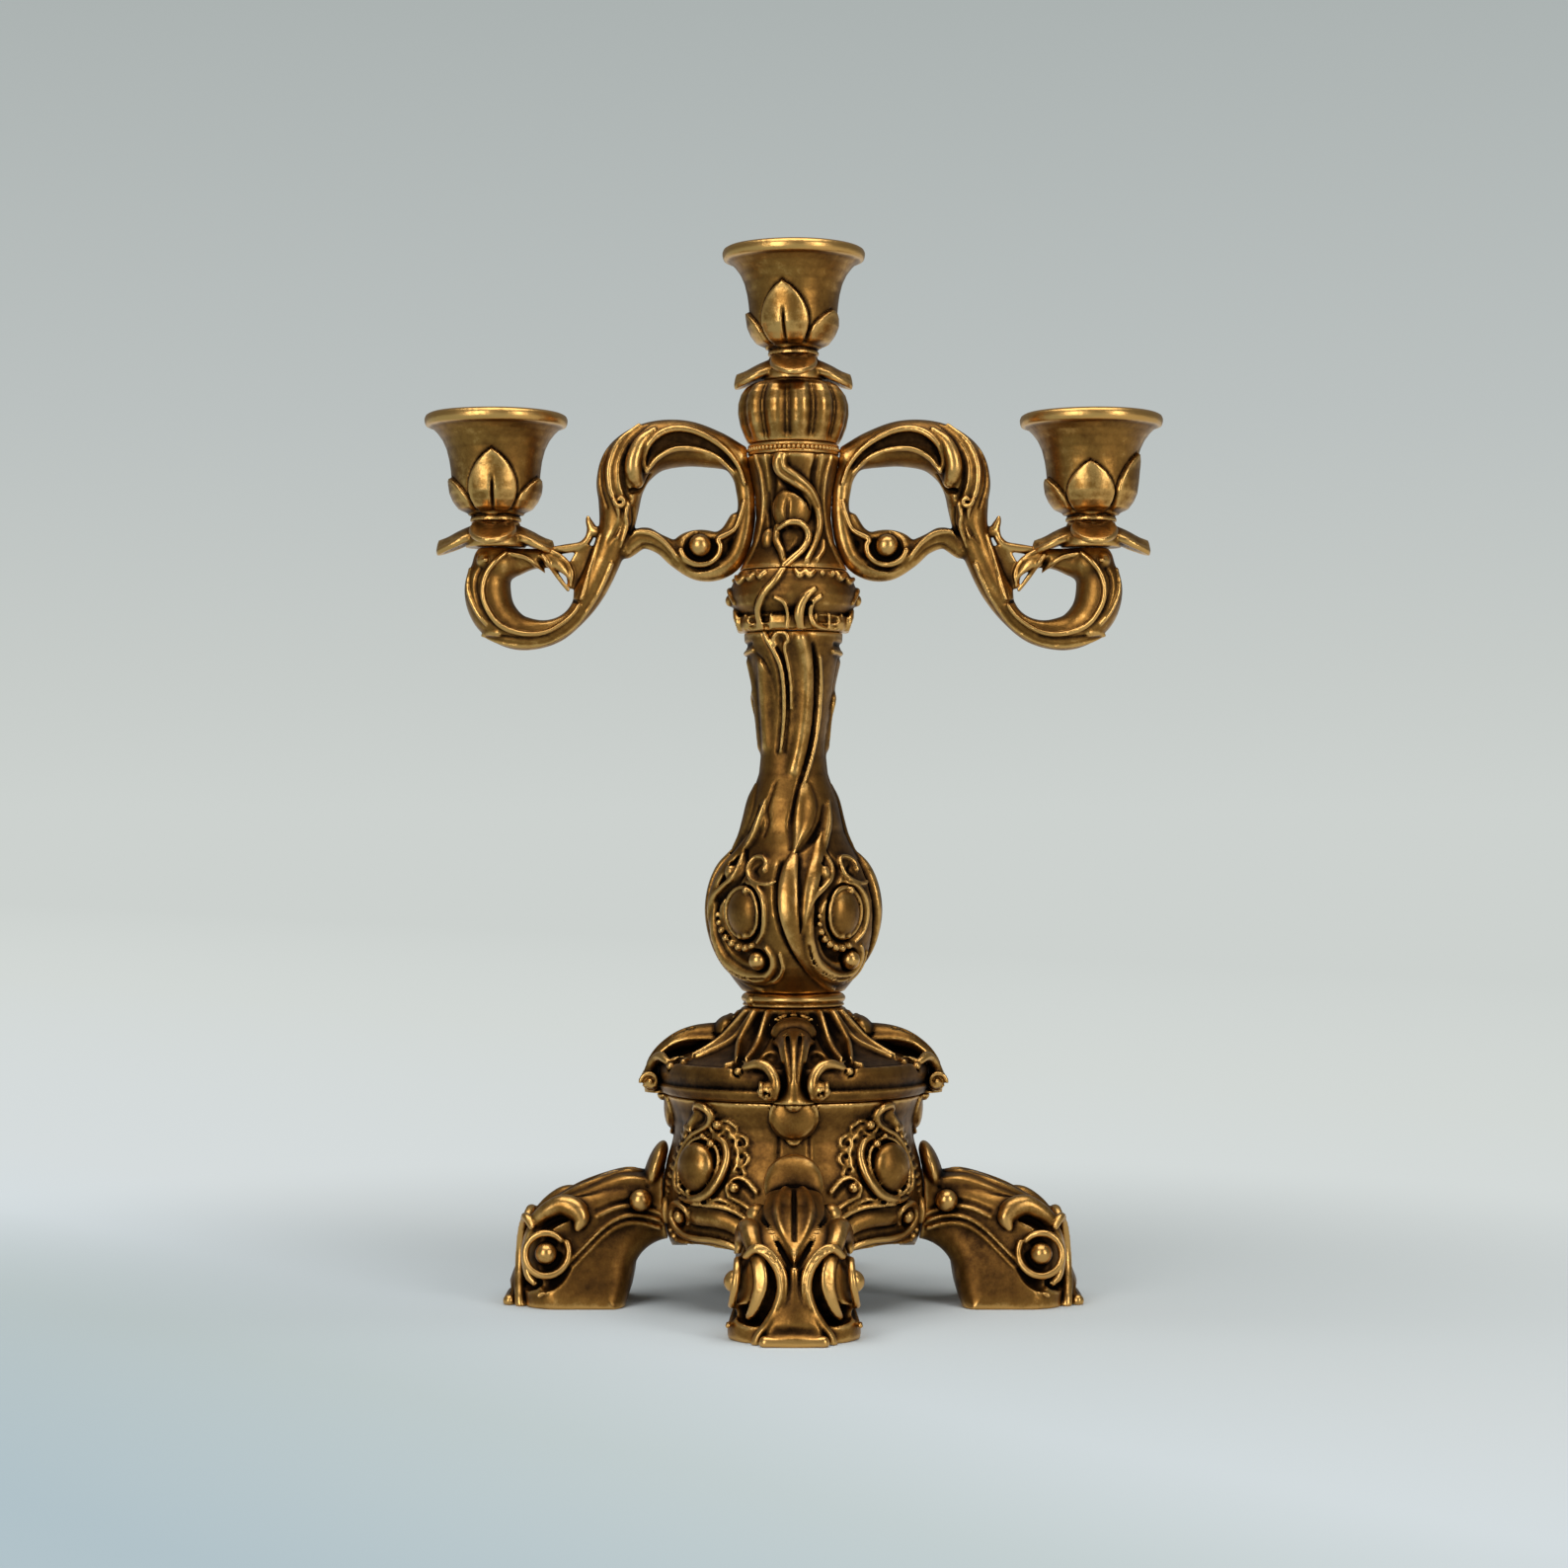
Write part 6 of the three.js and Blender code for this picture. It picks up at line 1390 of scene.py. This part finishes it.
CUP_INSIDE = [(0, 8), (11.4, 8), (11.4, 29), (12.6, 31), (15.6, 32.4), (19.2, 34.9), (21.6, 37.6),
              (22.6, 39.4), (22.6, 42), (0, 42)]
PETAL_TIPS = (24.7, 15.5, 20.5, 24.0, 15.5)
PETAL_SHAPE = ((0, 0.52), (0.15, 0.56), (0.3, 0.61), (0.45, 0.62), (0.58, 0.57), (0.7, 0.48), (0.82, 0.35),
               (0.93, 0.18), (1, 0.03), (1.4, -0.5))
PETAL_RISE = 1.0
HEAD_HOLE = 4.3


def petals(angle, z):
    """How far the petals stand out of the belly, with the groove round each and the split in the first."""
    inside = np.float32(-9)
    swell = np.float32(0)
    share, half = np.array(PETAL_SHAPE).T
    for k, tip in enumerate(PETAL_TIPS):
        off = (angle + math.pi / 2 - k * 2 * math.pi / 5 + math.pi) % (2 * math.pi) - math.pi
        edge = (np.interp(z / tip, share, half) - np.abs(off)) * 16
        inside = np.maximum(inside, edge)
        swell = np.maximum(swell, np.where(edge > 0, 0.55 * (1 - (off / 0.62) ** 2), 0))
        if k == 0:
            split = np.exp(-(off
                             * 16 / (0.35 + 0.5 * np.clip(1 - z / 14, 0, 1))) ** 2) * np.clip((16 - z) / 4,
                    0, 1)
        if k == 3:
            vein = np.exp(-((off - 0.12) * 16 / 0.3) ** 2) * np.clip((z - 12) / 3, 0,
                    1) * np.clip((20 - z) / 3, 0, 1)
    rise = PETAL_RISE * np.clip(inside / 0.9, 0, 1) + swell - 0.75 * np.exp(-((inside + 0.1) / 0.42) ** 2)
    rise = rise - 1.5 * split - 0.4 * vein
    return (rise * np.clip((z - 2.2) / 1.6, 0, 1) + 0.12 * np.sin(5 * angle + 1)
            * np.clip((z - 24) / 8, 0, 1)).astype(np.float32)


wax = Wax((-28, -28, -1), (28, 28, 40.5), 0.5)
wax.turn(CUP_OUTSIDE, petals)
neck = [(9.5 * math.cos(a), 9.5 * math.sin(a), 2.9 + 0.35 * math.sin(5 * a), 0.7 + 0.2 * math.sin(7 * a + 1))
        for a in np.linspace(0, 2 * math.pi, 41)]
wax.strand(neck, 0.4)
wax.turn([(24.2, 33.2), (25.2, 33.2), (25.2, 33.9), (24.2, 33.9)], blend=0.8, carve=True)
wax.turn(CUP_INSIDE, carve=True)
wax.bore(HEAD_HOLE, 5.3, 9)
wax.bore(SCREW_HOLE, -5, 9)
poured = wax.pour()
for name, seat in CUP_SEATS.items():
    # The cups are painted lighter than the rest: a painted highlight for the light that falls on them from
    # above.
    casting(f"cup_{name}", poured, f"cup_{name}", CUP_TURNS[name], seat, painted_shade=-0.035)


# ---------------------------------------------------------------- the screws, studs and tie rod
# Turned mild steel, left bright and a little dulled by handling: four foot screws, three cup screws, two
# studs for the branches, and the rod with its washer and nut, which clamps the column to the base.
STEEL_STOPS = ((0.35, "#6C6A66"), (0.6, "#A9A8A4"))
STEEL_PIECES = ("foot_screw", "cup_screw", "branch_stud", "tie_rod", "rod_")
TURNING_MM = 0.35
HANDLING_MM = 5.0


def turned_steel():
    metal = bpy.data.materials.new("turned_steel")
    metal.use_nodes = True
    tree = metal.node_tree
    tree.nodes.clear()
    where = node(tree, "ShaderNodeTexCoord").outputs["Object"]
    lines = node(tree, "ShaderNodeTexNoise", Vector=where, Scale=1 / (TURNING_MM * MM),
                 Detail=2.0).outputs["Fac"]
    marks = node(tree, "ShaderNodeTexNoise", Vector=where, Scale=1 / (HANDLING_MM * MM),
                 Detail=3.0).outputs["Fac"]
    rough = node(tree, "ShaderNodeMapRange", Value=marks, To_Min=0.42, To_Max=0.26).outputs["Result"]
    bump = node(tree, "ShaderNodeBump", Strength=0.3, Distance=0.00004, Height=lines).outputs["Normal"]
    shader = node(tree, "ShaderNodeBsdfPrincipled", Base_Color=ramp(tree, marks, STEEL_STOPS), Metallic=1.0,
                  Roughness=rough, Normal=bump).outputs["BSDF"]
    node(tree, "ShaderNodeOutputMaterial", Surface=shader)
    return metal


steel = turned_steel()
for name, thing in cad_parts.items():
    thing.data.materials.clear()
    thing.data.materials.append(steel if name.startswith(STEEL_PIECES) else BRASS)
